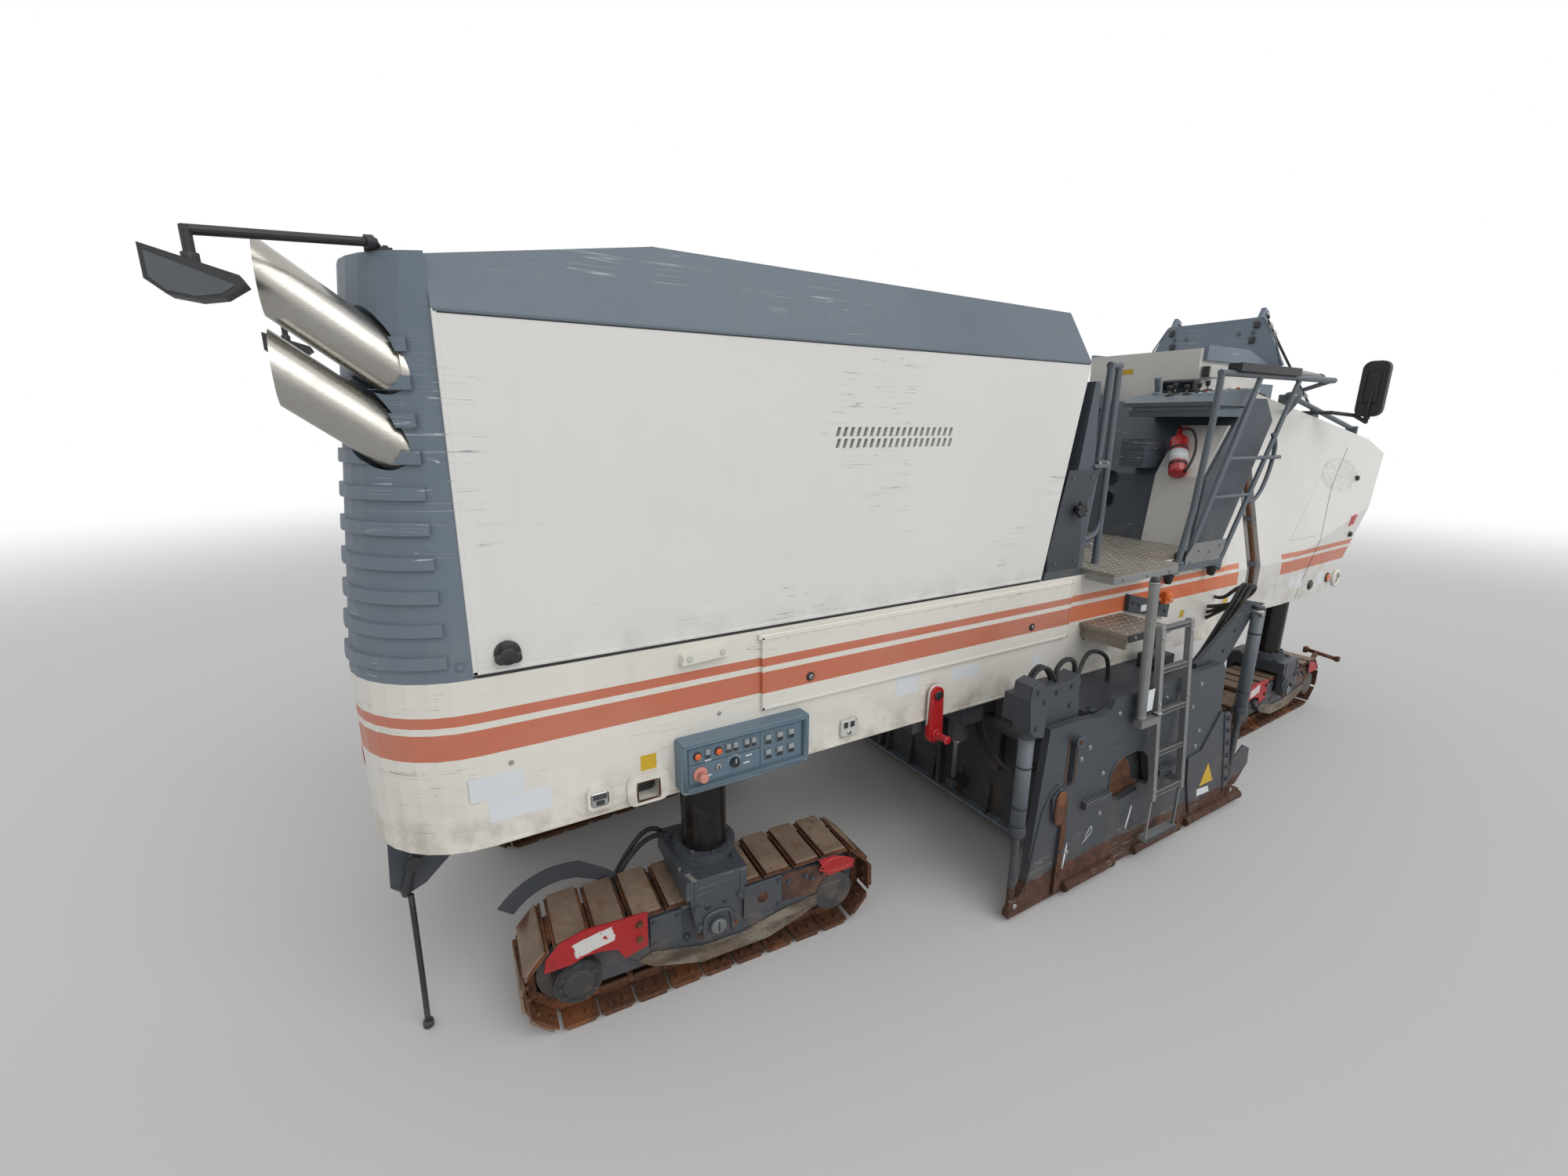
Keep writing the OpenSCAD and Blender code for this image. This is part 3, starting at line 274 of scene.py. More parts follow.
# Where the guards and the worn steel of the track carriers are, from their own length and outward axes
def carrierAreas(net):
    reach, radius = trackForm["reach"], trackForm["radius"]
    front = net.x.ramp(-0.1, 0.1)
    outward = abs(net.y) - columnY
    places = []
    for _, x, angle in columns:
        turn = math.radians(angle)
        ahead = net.x - x
        places.append((ahead * math.cos(turn) - outward * math.sin(turn),
            ahead * math.sin(turn) + outward * math.cos(turn)))
    along, out = (places[0][k] * (1 - front) + places[1][k] * front for k in (0, 1))
    fine = net.noise(9, 6, 0.7, shift=(5, 5, 1))
    guard = out.band(0.163, 0.1735) * abs(along).ramp(0.25, 0.27)
    hub = ((abs(along) - reach) * (abs(along) - reach) + (net.z - radius) * (net.z - radius)).root()
    hub = hub.ramp(0.097, 0.095)
    red = net.mix(fine.ramp(0.55, 0.75), (0.36, 0.01, 0.014), (0.22, 0.015, 0.015))
    scraped = net.noise(5, 6, 0.75, stretch=(1.0, 1, 3.0), shift=(2, 7, 4))
    worn = net.mix(scraped.ramp(0.42, 0.62), (0.06, 0.045, 0.032), (0.215, 0.185, 0.145))
    over, rise = along + 0.525, net.z - 0.4
    patch = abs(over * 0.985 + rise * 0.17) / 0.078
    patch = patch.atLeast(abs(rise * 0.985 - over * 0.17) / 0.034)
    patch = (patch + (fine - 0.5) * 0.9).ramp(1.02, 0.95) * guard * net.noise(26, 4).ramp(0.3, 0.42)
    low = out.band(0.1455, 0.1495) * net.z.ramp(0.25, 0.235)
    dark = out.band(0.1425, 0.1455) * along.ramp(0.3, 0.31)
    rust = net.mix(fine.ramp(0.4, 0.7), (0.05, 0.022, 0.014), (0.115, 0.05, 0.028))
    return ((low * (1 - hub), worn), (dark * (1 - hub), rust), (guard, red), (patch, (0.6, 0.59, 0.57)),
        (hub, (0.035, 0.037, 0.04)))


paintFinish("slateCrawler", "slate_paint", (0.042, 0.05, 0.062), (0.055, 0.062, 0.074), rough=0.48,
    dirt=(0.18, 0.13, 0.09), dirtLow=0.1, dirtHigh=0.4, dirtMost=0.75, dust=0.22, chips=0.6,
    chipColour=(0.15, 0.065, 0.032), scratches=0.3, scratchColour=(0.3, 0.29, 0.27), areas=carrierAreas)
paintFinish("redPaint", "red_paint", (0.46, 0.012, 0.016), (0.38, 0.014, 0.016), rough=0.35,
    dirt=(0.14, 0.08, 0.05), dirtLow=0.1, dirtHigh=0.45, dirtMost=0.35, dust=0.08, chips=0.7,
    chipColour=(0.05, 0.05, 0.055), coat=0.3)
paintFinish("greyPlastic", "grey_plastic", (0.115, 0.148, 0.175), (0.14, 0.17, 0.19), rough=0.55,
    dirt=(0.25, 0.23, 0.2), dust=0.14, grain=0.15)
paintFinish("panelBlue", "panel_blue", (0.105, 0.165, 0.215), (0.125, 0.185, 0.235), rough=0.42,
    dirt=(0.2, 0.19, 0.17), dirtLow=0.95, dirtHigh=1.1, dirtMost=0.3, dust=0.1, chips=0.3,
    chipColour=(0.35, 0.38, 0.4))
paintFinish("blackPlastic", "black_plastic", (0.016, 0.017, 0.019), (0.024, 0.025, 0.027), rough=0.5,
    dirt=(0.14, 0.13, 0.11), dust=0.1, grain=0.12)
paintFinish("darkMetal", "dark_metal", (0.022, 0.025, 0.029), (0.03, 0.033, 0.037), rough=0.5,
    dirt=(0.1, 0.085, 0.065), dust=0.18, chips=0.3)
paintFinish("engineIron", "engine_iron", (0.05, 0.05, 0.052), (0.07, 0.065, 0.06), rough=0.7,
    dirt=(0.09, 0.07, 0.05), dust=0.3)
paintFinish("stickerWhite", "white_paint", (0.7, 0.73, 0.76), (0.64, 0.67, 0.7), rough=0.45,
    dirt=(0.46, 0.44, 0.4), dust=0.2, chips=0.8, chipColour=(0.7, 0.68, 0.62))
paintFinish("stickerYellow", "white_paint", (0.62, 0.42, 0.02), (0.55, 0.35, 0.02), rough=0.45, dust=0.2,
    chips=0.3)
paintFinish("lampOrange", "amber_plastic", (0.75, 0.14, 0.01), (0.68, 0.11, 0.01), rough=0.15, dust=0.05,
    coat=0.6)
paintFinish("whitePlastic", "white_paint", (0.6, 0.6, 0.58), (0.52, 0.52, 0.49), rough=0.45, dust=0.15)
paintFinish("greyLight", "white_paint", (0.34, 0.37, 0.38), (0.26, 0.29, 0.3), rough=0.4, dust=0.15)
paintFinish("stopPink", "red_paint", (0.62, 0.3, 0.25), (0.55, 0.2, 0.16), rough=0.5, dust=0.15)


# Bare and galvanised steel
def metalFinish(name, slotName, colour, tint, rough, metallic, brushed=(1, 1, 1), dirt=(0.16, 0.12, 0.085),
        dust=0.2, plate=False):
    net = Net(name, slotName)
    broad, fine = net.noise(1.7, 4), net.noise(24, 4, 0.6, stretch=brushed)
    shade = net.mix(broad.ramp(0.35, 0.65), colour, tint)
    spots = net.noise(9, 6, 0.7, shift=(2, 8, 5)).ramp(0.52, 0.75) * dust
    shade = net.mix(spots, shade, dirt)
    height = fine * 0.12
    worn = fine.ramp(0.3, 0.7)
    if plate:  # lens-shaped studs in two directions, one in each cell
        studsPerMetre, slant = 21, 0.7071
        u, v = net.x * studsPerMetre, net.y * studsPerMetre
        across, along = u % 1.0 - 0.5, v % 1.0 - 0.5
        turned = (u.floor() + v.floor()) % 2.0
        long, short = (across + along) * slant, (across - along) * slant
        a = long * turned + short * (1 - turned)
        b = short * turned + long * (1 - turned)
        stud = (a * a / 0.19 + b * b / 0.018).ramp(1.15, 0.75) * net.flat()
        shade = net.mix((1 - stud) * (0.35 + 0.4 * broad.ramp(0.35, 0.65)), shade, dirt)
        shade = net.mix(stud * (0.55 + 0.4 * worn), shade, (0.58, 0.56, 0.51))
        height = height + stud * 1.6
    net.finish(colour=shade, roughness=rough + 0.25 * spots + 0.12 * (worn - 0.5),
        metallic=metallic * (1 - spots), normal=net.bump(height, 0.6, 0.002))


metalFinish("chequerPlate", "galvanised", (0.36, 0.34, 0.3), (0.28, 0.26, 0.22), 0.5, 0.5,
    dirt=(0.17, 0.13, 0.095), dust=0.55, plate=True)
metalFinish("galvanised", "galvanised", (0.3, 0.31, 0.31), (0.2, 0.21, 0.215), 0.48, 0.6, dust=0.45)
metalFinish("brushedSteel", "steel", (0.46, 0.445, 0.41), (0.38, 0.36, 0.325), 0.3, 0.95,
    brushed=(0.3, 6, 6), dirt=(0.2, 0.16, 0.12), dust=0.25)
metalFinish("brightSteel", "steel", (0.5, 0.5, 0.49), (0.42, 0.42, 0.41), 0.25, 0.9, dust=0.15)
metalFinish("oiledColumn", "dark_metal", (0.022, 0.021, 0.02), (0.035, 0.032, 0.03), 0.22, 0.7,
    brushed=(3, 3, 0.3), dirt=(0.06, 0.045, 0.03), dust=0.5)
metalFinish("mirrorGlass", "black_plastic", (0.12, 0.13, 0.14), (0.09, 0.1, 0.11), 0.05, 1.0, dust=0.1)


# Rusty steel of the tracks and the drum
def rustFinish(name, slotName, padRadius=None, centres=()):
    net = Net(name, slotName)
    broad, fine = net.noise(3.5, 5, 0.65), net.noise(38, 6, 0.7)
    shade = net.mix(fine.ramp(0.3, 0.7), (0.045, 0.02, 0.011), (0.13, 0.052, 0.024))
    shade = net.mix(broad.ramp(0.5, 0.72), shade, (0.22, 0.085, 0.03))
    shade = net.mix(net.noise(6, 5, 0.7, shift=(4, 4, 4)).ramp(0.58, 0.75) * 0.7, shade,
        (0.055, 0.04, 0.03))
    height = fine * 0.6 + net.noise(120, 3) * 0.25
    if padRadius:  # the pads' outer faces are worn pale
        nearest = None
        for x in centres:
            away = (abs(net.x - x) - padRadius[1]).atLeast(0.0)
            nearest = away if nearest is None else nearest.atMost(away)
        lift = net.z - padRadius[0]
        outer = (nearest * nearest + lift * lift).root().ramp(padRadius[0] - 0.006, padRadius[0] - 0.002)
        pale = net.mix(broad.ramp(0.35, 0.65), (0.3, 0.22, 0.155), (0.2, 0.142, 0.102))
        pale = net.mix(net.noise(11, 5, 0.7, shift=(1, 2, 3)).ramp(0.55, 0.7), pale, (0.2, 0.085, 0.035))
        shade = net.mix(outer * fine.ramp(0.25, 0.45), shade, pale)
    net.finish(colour=shade, roughness=0.82 - 0.2 * broad, metallic=0.15,
        normal=net.bump(height, 0.7, 0.004))


rustFinish("trackSteel", "track_steel", (trackForm["radius"], trackForm["reach"]),
    [x for _, x, _ in columns])
rustFinish("rustySteel", "worn_steel")


def rubberFinish(name, slotName, colour):
    net = Net(name, slotName)
    fine = net.noise(60, 4, 0.6)
    shade = net.mix(net.noise(5, 5, 0.65).ramp(0.45, 0.75) * 0.5, colour, (0.13, 0.105, 0.08))
    net.finish(colour=shade, roughness=0.62 + 0.2 * fine, normal=net.bump(fine, 0.3, 0.002))


rubberFinish("beltRubber", "belt_rubber", (0.022, 0.021, 0.02))
rubberFinish("hoseRubber", "hose_rubber", (0.014, 0.014, 0.015))

nodeFinish = {"whiteChassis": "main_frame tool_door", "whiteFront": "front_tanks front_cover centre_box",
    "whiteHood": "hood_sides", "slateRoof": "hood_roof", "slateCorner": "corner_right corner_left",
    "slatePanel": "front_wall bulkhead", "slateGantry": "hoist_gantry", "slateScraper": "scraper",
    "slateRail": "rails", "greyPlastic": "consoles",
    "slateUnit": "drum_housing side_plate_right side_plate_left tow_brackets",
    "slateHidden": "conveyor_frame conveyor_hitch", "redPaint": "extinguisher lever",
    "slateCrawler": "crawler_rear_right crawler_rear_left crawler_front_right crawler_front_left",
    "trackSteel": "track_rear_right track_rear_left track_front_right track_front_left",
    "oiledColumn": "column_rear_right column_rear_left column_front_right column_front_left",
    "chequerPlate": "platform", "galvanised": "ladder_right ladder_left", "brushedSteel": "exhaust",
    "darkMetal": "rear_grille", "engineIron": "engine", "panelBlue": "control_panel",
    "blackPlastic": "mirrors", "beltRubber": "conveyor_belt", "rustySteel": "drum", "lampOrange": "lamps",
    "hoseRubber": "hoses", }
for finish, names in nodeFinish.items():
    for nodeName in names.split():
        nodes[nodeName].data.materials.clear()
        nodes[nodeName].data.materials.append(materials[finish][0])
print("finishes on", sum(len(n.split()) for n in nodeFinish.values()), "nodes")


# A piece is built up from small forms, each with its own finish
class Piece:
    def __init__(self, name, body, at=None):
        self.name, self.body = name, body
        self.form = bmesh.new()
        self.at = at or Matrix()  # where the next forms go
        self.finishes = []

    def merge(self, part, finish, smooth=False):
        if finish not in self.finishes:
            self.finishes.append(finish)
        bmesh.ops.transform(part, matrix=self.at, verts=part.verts)
        bmesh.ops.recalc_face_normals(part, faces=part.faces)
        for face in part.faces:
            face.material_index = self.finishes.index(finish)
            face.smooth = smooth
        mesh = bpy.data.meshes.new("part")
        part.to_mesh(mesh)
        part.free()
        self.form.from_mesh(mesh)
        bpy.data.meshes.remove(mesh)

    def block(self, finish, low, high, bevel=0.0, segments=1):
        part = bmesh.new()
        size = Vector(high) - Vector(low)
        bmesh.ops.create_cube(part, size=1, matrix=Matrix.Diagonal((*size, 1)))
        if bevel:
            bmesh.ops.bevel(part, geom=part.edges, offset=bevel, affect="EDGES", segments=segments,
                profile=0.5, material=-1)
        bmesh.ops.translate(part, vec=(Vector(low) + Vector(high)) / 2, verts=part.verts)
        self.merge(part, finish)

    def rod(self, finish, start, end, radius, segments=16, bevel=0.0, tip=None, smooth=True):
        part = bmesh.new()
        start, end = Vector(start), Vector(end)
        way = end - start
        bmesh.ops.create_cone(part, cap_ends=True, segments=segments, radius1=radius,
            radius2=radius if tip is None else tip, depth=way.length)
        if bevel:
            rims = [e for e in part.edges if len({round(v.co.z, 6) for v in e.verts}) == 1]
            bmesh.ops.bevel(part, geom=rims, offset=bevel, affect="EDGES", segments=2, profile=0.5,
                material=-1)
        place = Matrix.Translation((start + end) / 2) @ way.to_track_quat("Z", "Y").to_matrix().to_4x4()
        bmesh.ops.transform(part, matrix=place, verts=part.verts)
        self.merge(part, finish, smooth)

    def pin(self, finish, place, start, end, *settings, **more):  # a rod along Y, at an x and z
        x, z = place
        self.rod(finish, (x, start, z), (x, end, z), *settings, **more)

    def post(self, finish, place, start, end, *settings, **more):  # a rod along Z, at an x and y
        self.rod(finish, (*place, start), (*place, end), *settings, **more)

    def plate(self, finish, outline, along, thickness, bevel=0.0):  # an outline in the other two axes
        part = bmesh.new()
        axis = next(iter(thickness))
        place = "xyz".index(axis)
        corners = [part.verts.new((*p[:place], along, *p[place:])) for p in outline]
        part.faces.new(corners)
        grown = bmesh.ops.extrude_face_region(part, geom=part.faces[:])
        way = Vector([thickness[axis] if a == axis else 0 for a in "xyz"])
        grownVerts = [v for v in grown["geom"] if isinstance(v, bmesh.types.BMVert)]
        bmesh.ops.translate(part, vec=way, verts=grownVerts)
        if bevel:
            bmesh.ops.bevel(part, geom=part.edges, offset=bevel, affect="EDGES", segments=1, profile=0.5,
                material=-1)
        self.merge(part, finish)

    def bolts(self, finish, places, radius, height, way=(0, -1, 0)):  # each with its washer
        way = Vector(way)
        for place in places:
            foot = Vector(place)
            self.rod(finish, foot - way * 0.002, foot + way * height * 0.35, radius * 1.35, 12,
                smooth=False)
            self.rod(finish, foot, foot + way * height, radius, 6, smooth=False)

    def studs(self, finish, y, places, radius, height):  # bolts in a face that looks outward at y
        self.bolts(finish, [(x, y, z) for x, z in places], radius, height)

    def tube(self, finish, points, radius, sides=10, rounding=3):  # a bent tube through its corner points
        curve = bpy.data.curves.new("path", "CURVE")
        curve.dimensions = "3D"
        spline = curve.splines.new("NURBS" if rounding else "POLY")
        spline.points.add(len(points) - 1)
        for point, place in zip(spline.points, points):
            point.co = (*place, 1)
        if rounding:
            spline.order_u, spline.use_endpoint_u, spline.resolution_u = rounding, True, 5
        curve.bevel_depth, curve.bevel_resolution = radius, max(0, sides // 4 - 1)
        curve.use_fill_caps = True
        holder = bpy.data.objects.new("path", curve)
        mesh = bpy.data.meshes.new_from_object(holder)
        bpy.data.objects.remove(holder)
        bpy.data.curves.remove(curve)
        part = bmesh.new()
        part.from_mesh(mesh)
        bpy.data.meshes.remove(mesh)
        bmesh.ops.remove_doubles(part, verts=part.verts, dist=0.00005)
        self.merge(part, finish, True)

    def bow(self, finish, y, points, radius, sides=10, rounding=3):  # a tube that lies flat at y
        self.tube(finish, [(x, y, z) for x, z in points], radius, sides, rounding)

    def done(self, replaces=()):
        mesh = bpy.data.meshes.new(self.name)
        self.form.to_mesh(mesh)
        self.form.free()
        for finish in self.finishes:
            mesh.materials.append(materials[finish][0])
        piece = bpy.data.objects.new(self.name, mesh)
        bpy.context.scene.collection.objects.link(piece)
        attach(piece, self.body)
        if replaces:
            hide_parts(*replaces)
        print("piece", self.name, len(mesh.polygons), "faces")


def plural(kind):  # a method that makes one such form from each row
    def makeAll(self, finish, rows, *rest, **more):
        for row in rows:
            getattr(self, kind)(finish, *row, *rest, **more)
    return makeAll


for kind in ("block", "rod", "pin", "post"):
    setattr(Piece, kind + "s", plural(kind))

mirrored = Matrix.Diagonal((1, -1, 1, 1))
sides = (("right", Matrix()), ("left", mirrored))


def onBothSides(*makers):
    for sideName, side in sides:
        for make in makers:
            make(sideName, side)


def onEachTrack(make):
    for end, x, angle in columns:
        for sideName, side in sides:
            make(f"{end}_{sideName}", x, angle, side)


def onLoop(distance, radius, reach):  # place on a track's loop, with X along it and Z outward
    bend = math.pi * radius
    about = Matrix.Rotation(math.pi, 4, "Z")
    rim = Matrix.Translation((0, 0, radius)) @ about
    if distance < 2 * reach:
        return Matrix.Translation((reach - distance, 0, radius)) @ about
    if distance < 2 * reach + bend:
        turn = Matrix.Rotation(-(distance - 2 * reach) / radius, 4, "Y")
        return Matrix.Translation((-reach, 0, 0)) @ turn @ rim
    if distance < 4 * reach + bend:
        under = Matrix.Rotation(math.pi, 4, "X")
        return Matrix.Translation((distance - 3 * reach - bend, 0, -radius)) @ under
    turn = Matrix.Rotation(math.pi - (distance - 4 * reach - bend) / radius, 4, "Y")
    return Matrix.Translation((reach, 0, 0)) @ turn @ rim


def trackPlace(x, angle, side):
    return side @ Matrix.Translation((x, -columnY, 0)) @ Matrix.Rotation(math.radians(angle), 4, "Z")


# Tracks: shoes with worn pads, bolted to links that are pinned to each other
def makeTrack(key, x, angle, side):
    form, half, wide = trackForm, trackForm["padHalf"], trackForm["halfWidth"]
    piece = Piece("trackLoop_" + key, "track_" + key)
    run = 4 * form["reach"] + 2 * math.pi * form["padFoot"]
    base = trackPlace(x, angle, side) @ Matrix.Translation((0, 0, form["radius"]))
    for k in range(form["pads"]):
        piece.at = base @ onLoop(k * run / form["pads"], form["padFoot"], form["reach"])
        piece.block("trackSteel", (-half - 0.008, -wide, 0), (half + 0.008, wide, 0.008), 0.002)
        wear = 0.0014 * math.sin(k * 2.4)
        piece.block("trackSteel", (-half + 0.004, -wide + 0.003, 0.006),
            (half - 0.004, wide - 0.003, 0.0256 + wear), 0.0065, 2)
        for y in (-form["linkY"][1], form["linkY"][0]):
            deep = form["linkY"][1] - form["linkY"][0]
            piece.block("trackSteel", (-half - 0.006, y, -form["linkDeep"]),
                (half + 0.006, y + deep, 0.001), 0.008)
        piece.pin("trackSteel", (half + 0.012, -0.024), -0.064, 0.064, 0.017, 12)
        for y in (-0.11, 0.11):
            for along in (-0.03, 0.03):
                piece.post("trackSteel", (along, y), -0.012, 0.001, 0.011, 6, smooth=False)
        piece.pin("darkMetal", (half - 0.002, 0.004), -wide + 0.004, wide - 0.004, 0.0035, 6)
    piece.done(("track_" + key,))


onEachTrack(makeTrack)


# Small parts on each track carrier: motor cover, guard bolts, pin cap, hoses
def makeCarrierParts(key, x, angle, side):
    piece = Piece("carrierParts_" + key, "track_" + key, trackPlace(x, angle, side))
    reach, radius = trackForm["reach"], trackForm["radius"]
    piece.pin("darkMetal", (-reach, radius), -0.11, -0.154, 0.088, 32, 0.002)
    piece.pin("slateCrawler", (-reach, radius), -0.152, -0.159, 0.06, 28, 0.003)
    turns = [k * math.pi / 5 for k in range(10)]
    piece.studs("slateCrawler", -0.154, [(-reach + 0.074 * math.cos(a), radius + 0.074 * math.sin(a))
        for a in turns], 0.0075, 0.007)
    piece.studs("rustySteel", -0.172, [(-0.345, 0.415), (-0.345, 0.345)], 0.012, 0.01)
    piece.bow("redPaint", -0.163, [(0.5, 0.372), (0.52, 0.4), (0.58, 0.414), (0.65, 0.396), (0.69, 0.36),
        (0.64, 0.345), (0.56, 0.34), (0.5, 0.372)], 0.005, 6)
    piece.studs("slateCrawler", -0.144, [(0.346, 0.353), (0.435, 0.357), (0.47, 0.33)], 0.011, 0.012)
    # pin end with its locking plate, and the yoke's bolts
    piece.pin("galvanised", (-0.02, 0.314), -0.214, -0.2215, 0.034, 28, 0.002)
    piece.block("darkMetal", (-0.024, -0.2225, 0.29), (-0.016, -0.22, 0.338), 0.001)
    piece.bow("slateCrawler", -0.209, [(-0.085, 0.268), (-0.085, 0.35), (-0.065, 0.384), (0.025, 0.384),
        (0.045, 0.35), (0.045, 0.268)], 0.009, 8)
    piece.studs("rustySteel", -0.205, [(-0.098, 0.288), (0.06, 0.296)], 0.01, 0.01)
    piece.studs("slateCrawler", -0.205, [(-0.102, 0.335), (0.045, 0.345), (-0.11, 0.43), (0.08, 0.432)],
        0.013, 0.011)
    piece.pins("darkMetal", [((-0.064, 0.418), -0.2045, -0.2065, 0.015),
        ((0.012, 0.422), -0.2045, -0.2065, 0.012)], 20)
    piece.bolts("slateCrawler", [(x, y, 0.5597) for y in (-0.13, 0.13) for x in (-0.13, 0.09)], 0.016,
        0.014, (0, 0, 1))
    # ribs between the yoke's top box and its legs
    for along in (-0.12, 0.085):
        piece.plate("slateCrawler", [(-0.205, 0.47), (-0.19, 0.47), (-0.19, 0.4), (-0.2085, 0.4),
            (-0.2085, 0.56), (-0.205, 0.56)], along, {"x": 0.012})
    # beams with their slots and the grease window on the side frame
    piece.blocks("slateCrawler", [((-0.298, -0.154, 0.256), (-0.16, -0.137, 0.402)),
        ((0.122, -0.154, 0.24), (0.312, -0.137, 0.404))], 0.004, 2)
    piece.pin("darkMetal", (-0.139, 0.246), -0.125, -0.15, 0.014, 16)
    piece.pin("rustySteel", (0.215, 0.325), -0.153, -0.156, 0.026, 24)
    piece.studs("slateCrawler", -0.154, [(-0.282, 0.38), (-0.18, 0.38), (-0.282, 0.276), (0.292, 0.386),
        (0.292, 0.26)], 0.009, 0.008)
    # two hoses down the inside of the yoke to the motor
    for k, out in ((0, 0.18), (1, 0.214)):
        piece.tube("hoseRubber", [(-0.12 - 0.02 * k, out - 0.02, 0.556), (-0.19, out, 0.565 + 0.03 * k),
            (-0.3, out, 0.48), (-0.37, out, 0.36), (-0.48, 0.15, 0.26), (-0.56, 0.146, 0.235)], 0.011, 8)
    # collar bolts round the column
    turns = [k * math.pi / 4 for k in range(8)]
    piece.bolts("slateCrawler", [(0.118 * math.cos(a), 0.118 * math.sin(a), 0.6) for a in turns], 0.01,
        0.01, (0, 0, 1))
    piece.done()


onEachTrack(makeCarrierParts)


# Side plates: bolts, front flap and wing, guide bar, blank plates
plateOut = -1.3


def makePlateParts(sideName, side):
    piece = Piece("sidePlateParts_" + sideName, "side_plate_" + sideName, side)
    # front flap in two layers with its hinge post and a triangular plate without any sign on it
    piece.plate("slateUnit", [(0.162, 0.5), (0.298, 0.514), (0.465, 0.728), (0.503, 0.702), (0.653, 0.146),
        (0.276, 0.101), (0.194, 0.338)], plateOut, {"y": -0.012}, 0.002)
    piece.plate("slateUnit", [(0.492, 0.704), (0.545, 0.712), (0.565, 0.69), (0.69, 0.18), (0.642, 0.14)],
        plateOut, {"y": -0.02}, 0.003)
    piece.plate("stickerYellow", [(0.403, 0.408), (0.491, 0.267), (0.343, 0.267)], plateOut - 0.012,
        {"y": -0.0015})
    piece.plate("stickerWhite", [(0.321, 0.252), (0.448, 0.24), (0.47, 0.196), (0.33, 0.202)],
        plateOut - 0.012, {"y": -0.0012})
    piece.studs("slateUnit", plateOut - 0.02, [(0.535, 0.672), (0.556, 0.59), (0.578, 0.5), (0.6, 0.41),
        (0.622, 0.325), (0.645, 0.235)], 0.012, 0.012)
    # wing that deflects crumbs, in front of the plate
    piece.plate("slateUnit", [(0.718, 0.13), (0.7, 0.237), (0.896, 0.382), (0.978, 0.342), (0.995, 0.232),
        (0.87, 0.11)], plateOut + 0.016, {"y": 0.014}, 0.003)
    # rusty guide bar under the pad, the worn pad with its bent edge, and streaks of white paint
    piece.plate("rustySteel", [(-0.984, 0.046), (-0.952, 0.046), (-0.936, 0.4), (-0.944, 0.47),
        (-0.978, 0.47)], plateOut - 0.013, {"y": -0.006}, 0.002)
    piece.plate("rustySteel", [(-1.052, 0.52), (-1.036, 0.468), (-0.99, 0.462), (-0.955, 0.5), (-0.96, 0.6),
        (-0.985, 0.645), (-1.02, 0.65), (-1.046, 0.62)], plateOut - 0.013, {"y": -0.014}, 0.006)
    piece.tube("slateUnit", [(-1.19, plateOut - 0.002, 0.18), (-1.152, plateOut - 0.002, 0.4),
        (-1.12, plateOut - 0.002, 0.56), (-1.069, plateOut - 0.002, 0.645),
        (-1.018, plateOut - 0.004, 0.68)], 0.006, 8, 0)
    piece.plate("stickerWhite", [(-0.895, 0.3), (-0.886, 0.31), (-0.889, 0.24), (-0.902, 0.16),
        (-0.908, 0.165), (-0.904, 0.24)], plateOut, {"y": -0.001})
    piece.plate("stickerWhite", [(-0.352, 0.345), (-0.34, 0.352), (-0.352, 0.28), (-0.372, 0.215),
        (-0.378, 0.222), (-0.366, 0.285)], plateOut, {"y": -0.001})
    piece.bow("stickerWhite", plateOut, [(-0.742, 0.285), (-0.715, 0.33), (-0.69, 0.345), (-0.688, 0.31),
        (-0.71, 0.285), (-0.76, 0.262)], 0.002, 6)
    # bolts and worn studs over the face
    piece.studs("brightSteel", plateOut, [(-0.802, 0.823), (-0.859, 0.774), (-0.583, 0.955),
        (-0.885, 0.254), (-0.158, 0.949), (0.13, 0.83), (0.248, 0.654), (0.235, 0.557), (0.184, 0.959),
        (-0.66, 0.64), (-0.64, 0.4), (-0.16, 0.64), (-0.18, 0.38)], 0.01, 0.006)
    piece.studs("slateUnit", plateOut - 0.014, [(-1.02, 0.6), (-0.985, 0.54), (-0.96, 0.3), (-0.957, 0.16)],
        0.014, 0.01)
    # rim round the large opening, and the edges of the guide pin's slot
    rim = [(-0.596, 0.496), (-0.588, 0.616), (-0.548, 0.668), (-0.492, 0.695), (-0.375, 0.694),
        (-0.312, 0.675), (-0.264, 0.633), (-0.208, 0.457), (-0.477, 0.419), (-0.544, 0.464)]
    piece.tube("slateUnit", [(x, plateOut - 0.001, z) for x, z in rim + rim[:1]], 0.005, 6, 0)
    for x in (-0.972, -0.898):
        piece.block("rustySteel", (x - 0.005, plateOut - 0.003, 0.655),
            (x + 0.005, plateOut + 0.001, 0.915), 0.002)
    # ribs of the steps, and the rounded ends of the runner's shoes
    for low, high in ((-0.815, -0.601), (-0.162, 0.066)):
        count = 8
        for k in range(count):
            x = low + (high - low) * (k + 0.5) / count
            piece.block("galvanised", (x - 0.005, plateOut - 0.0315, 0.52),
                (x + 0.005, plateOut - 0.002, 0.5265), 0.0015)
    for low, high in ((-0.893, -0.474), (-0.288, 0.171), (0.246, 0.88)):
        for x in (low + 0.015, high - 0.015):
            piece.rod("rustySteel", (x - 0.01, plateOut - 0.004, 0.052),
                (x + 0.01, plateOut - 0.004, 0.052), 0.0305, 20)
    # clevis and pin at the foot of each lift rod
    for x, z in ((-1.267, 0.085), (0.757, 0.105)):
        piece.block("slateUnit", (x - 0.034, plateOut - 0.008, z - 0.035),
            (x + 0.034, plateOut + 0.012, z + 0.045), 0.01, 2)
        piece.pin("brightSteel", (x, z + 0.012), plateOut - 0.016, plateOut - 0.006, 0.014, 20, 0.002)
    piece.done()


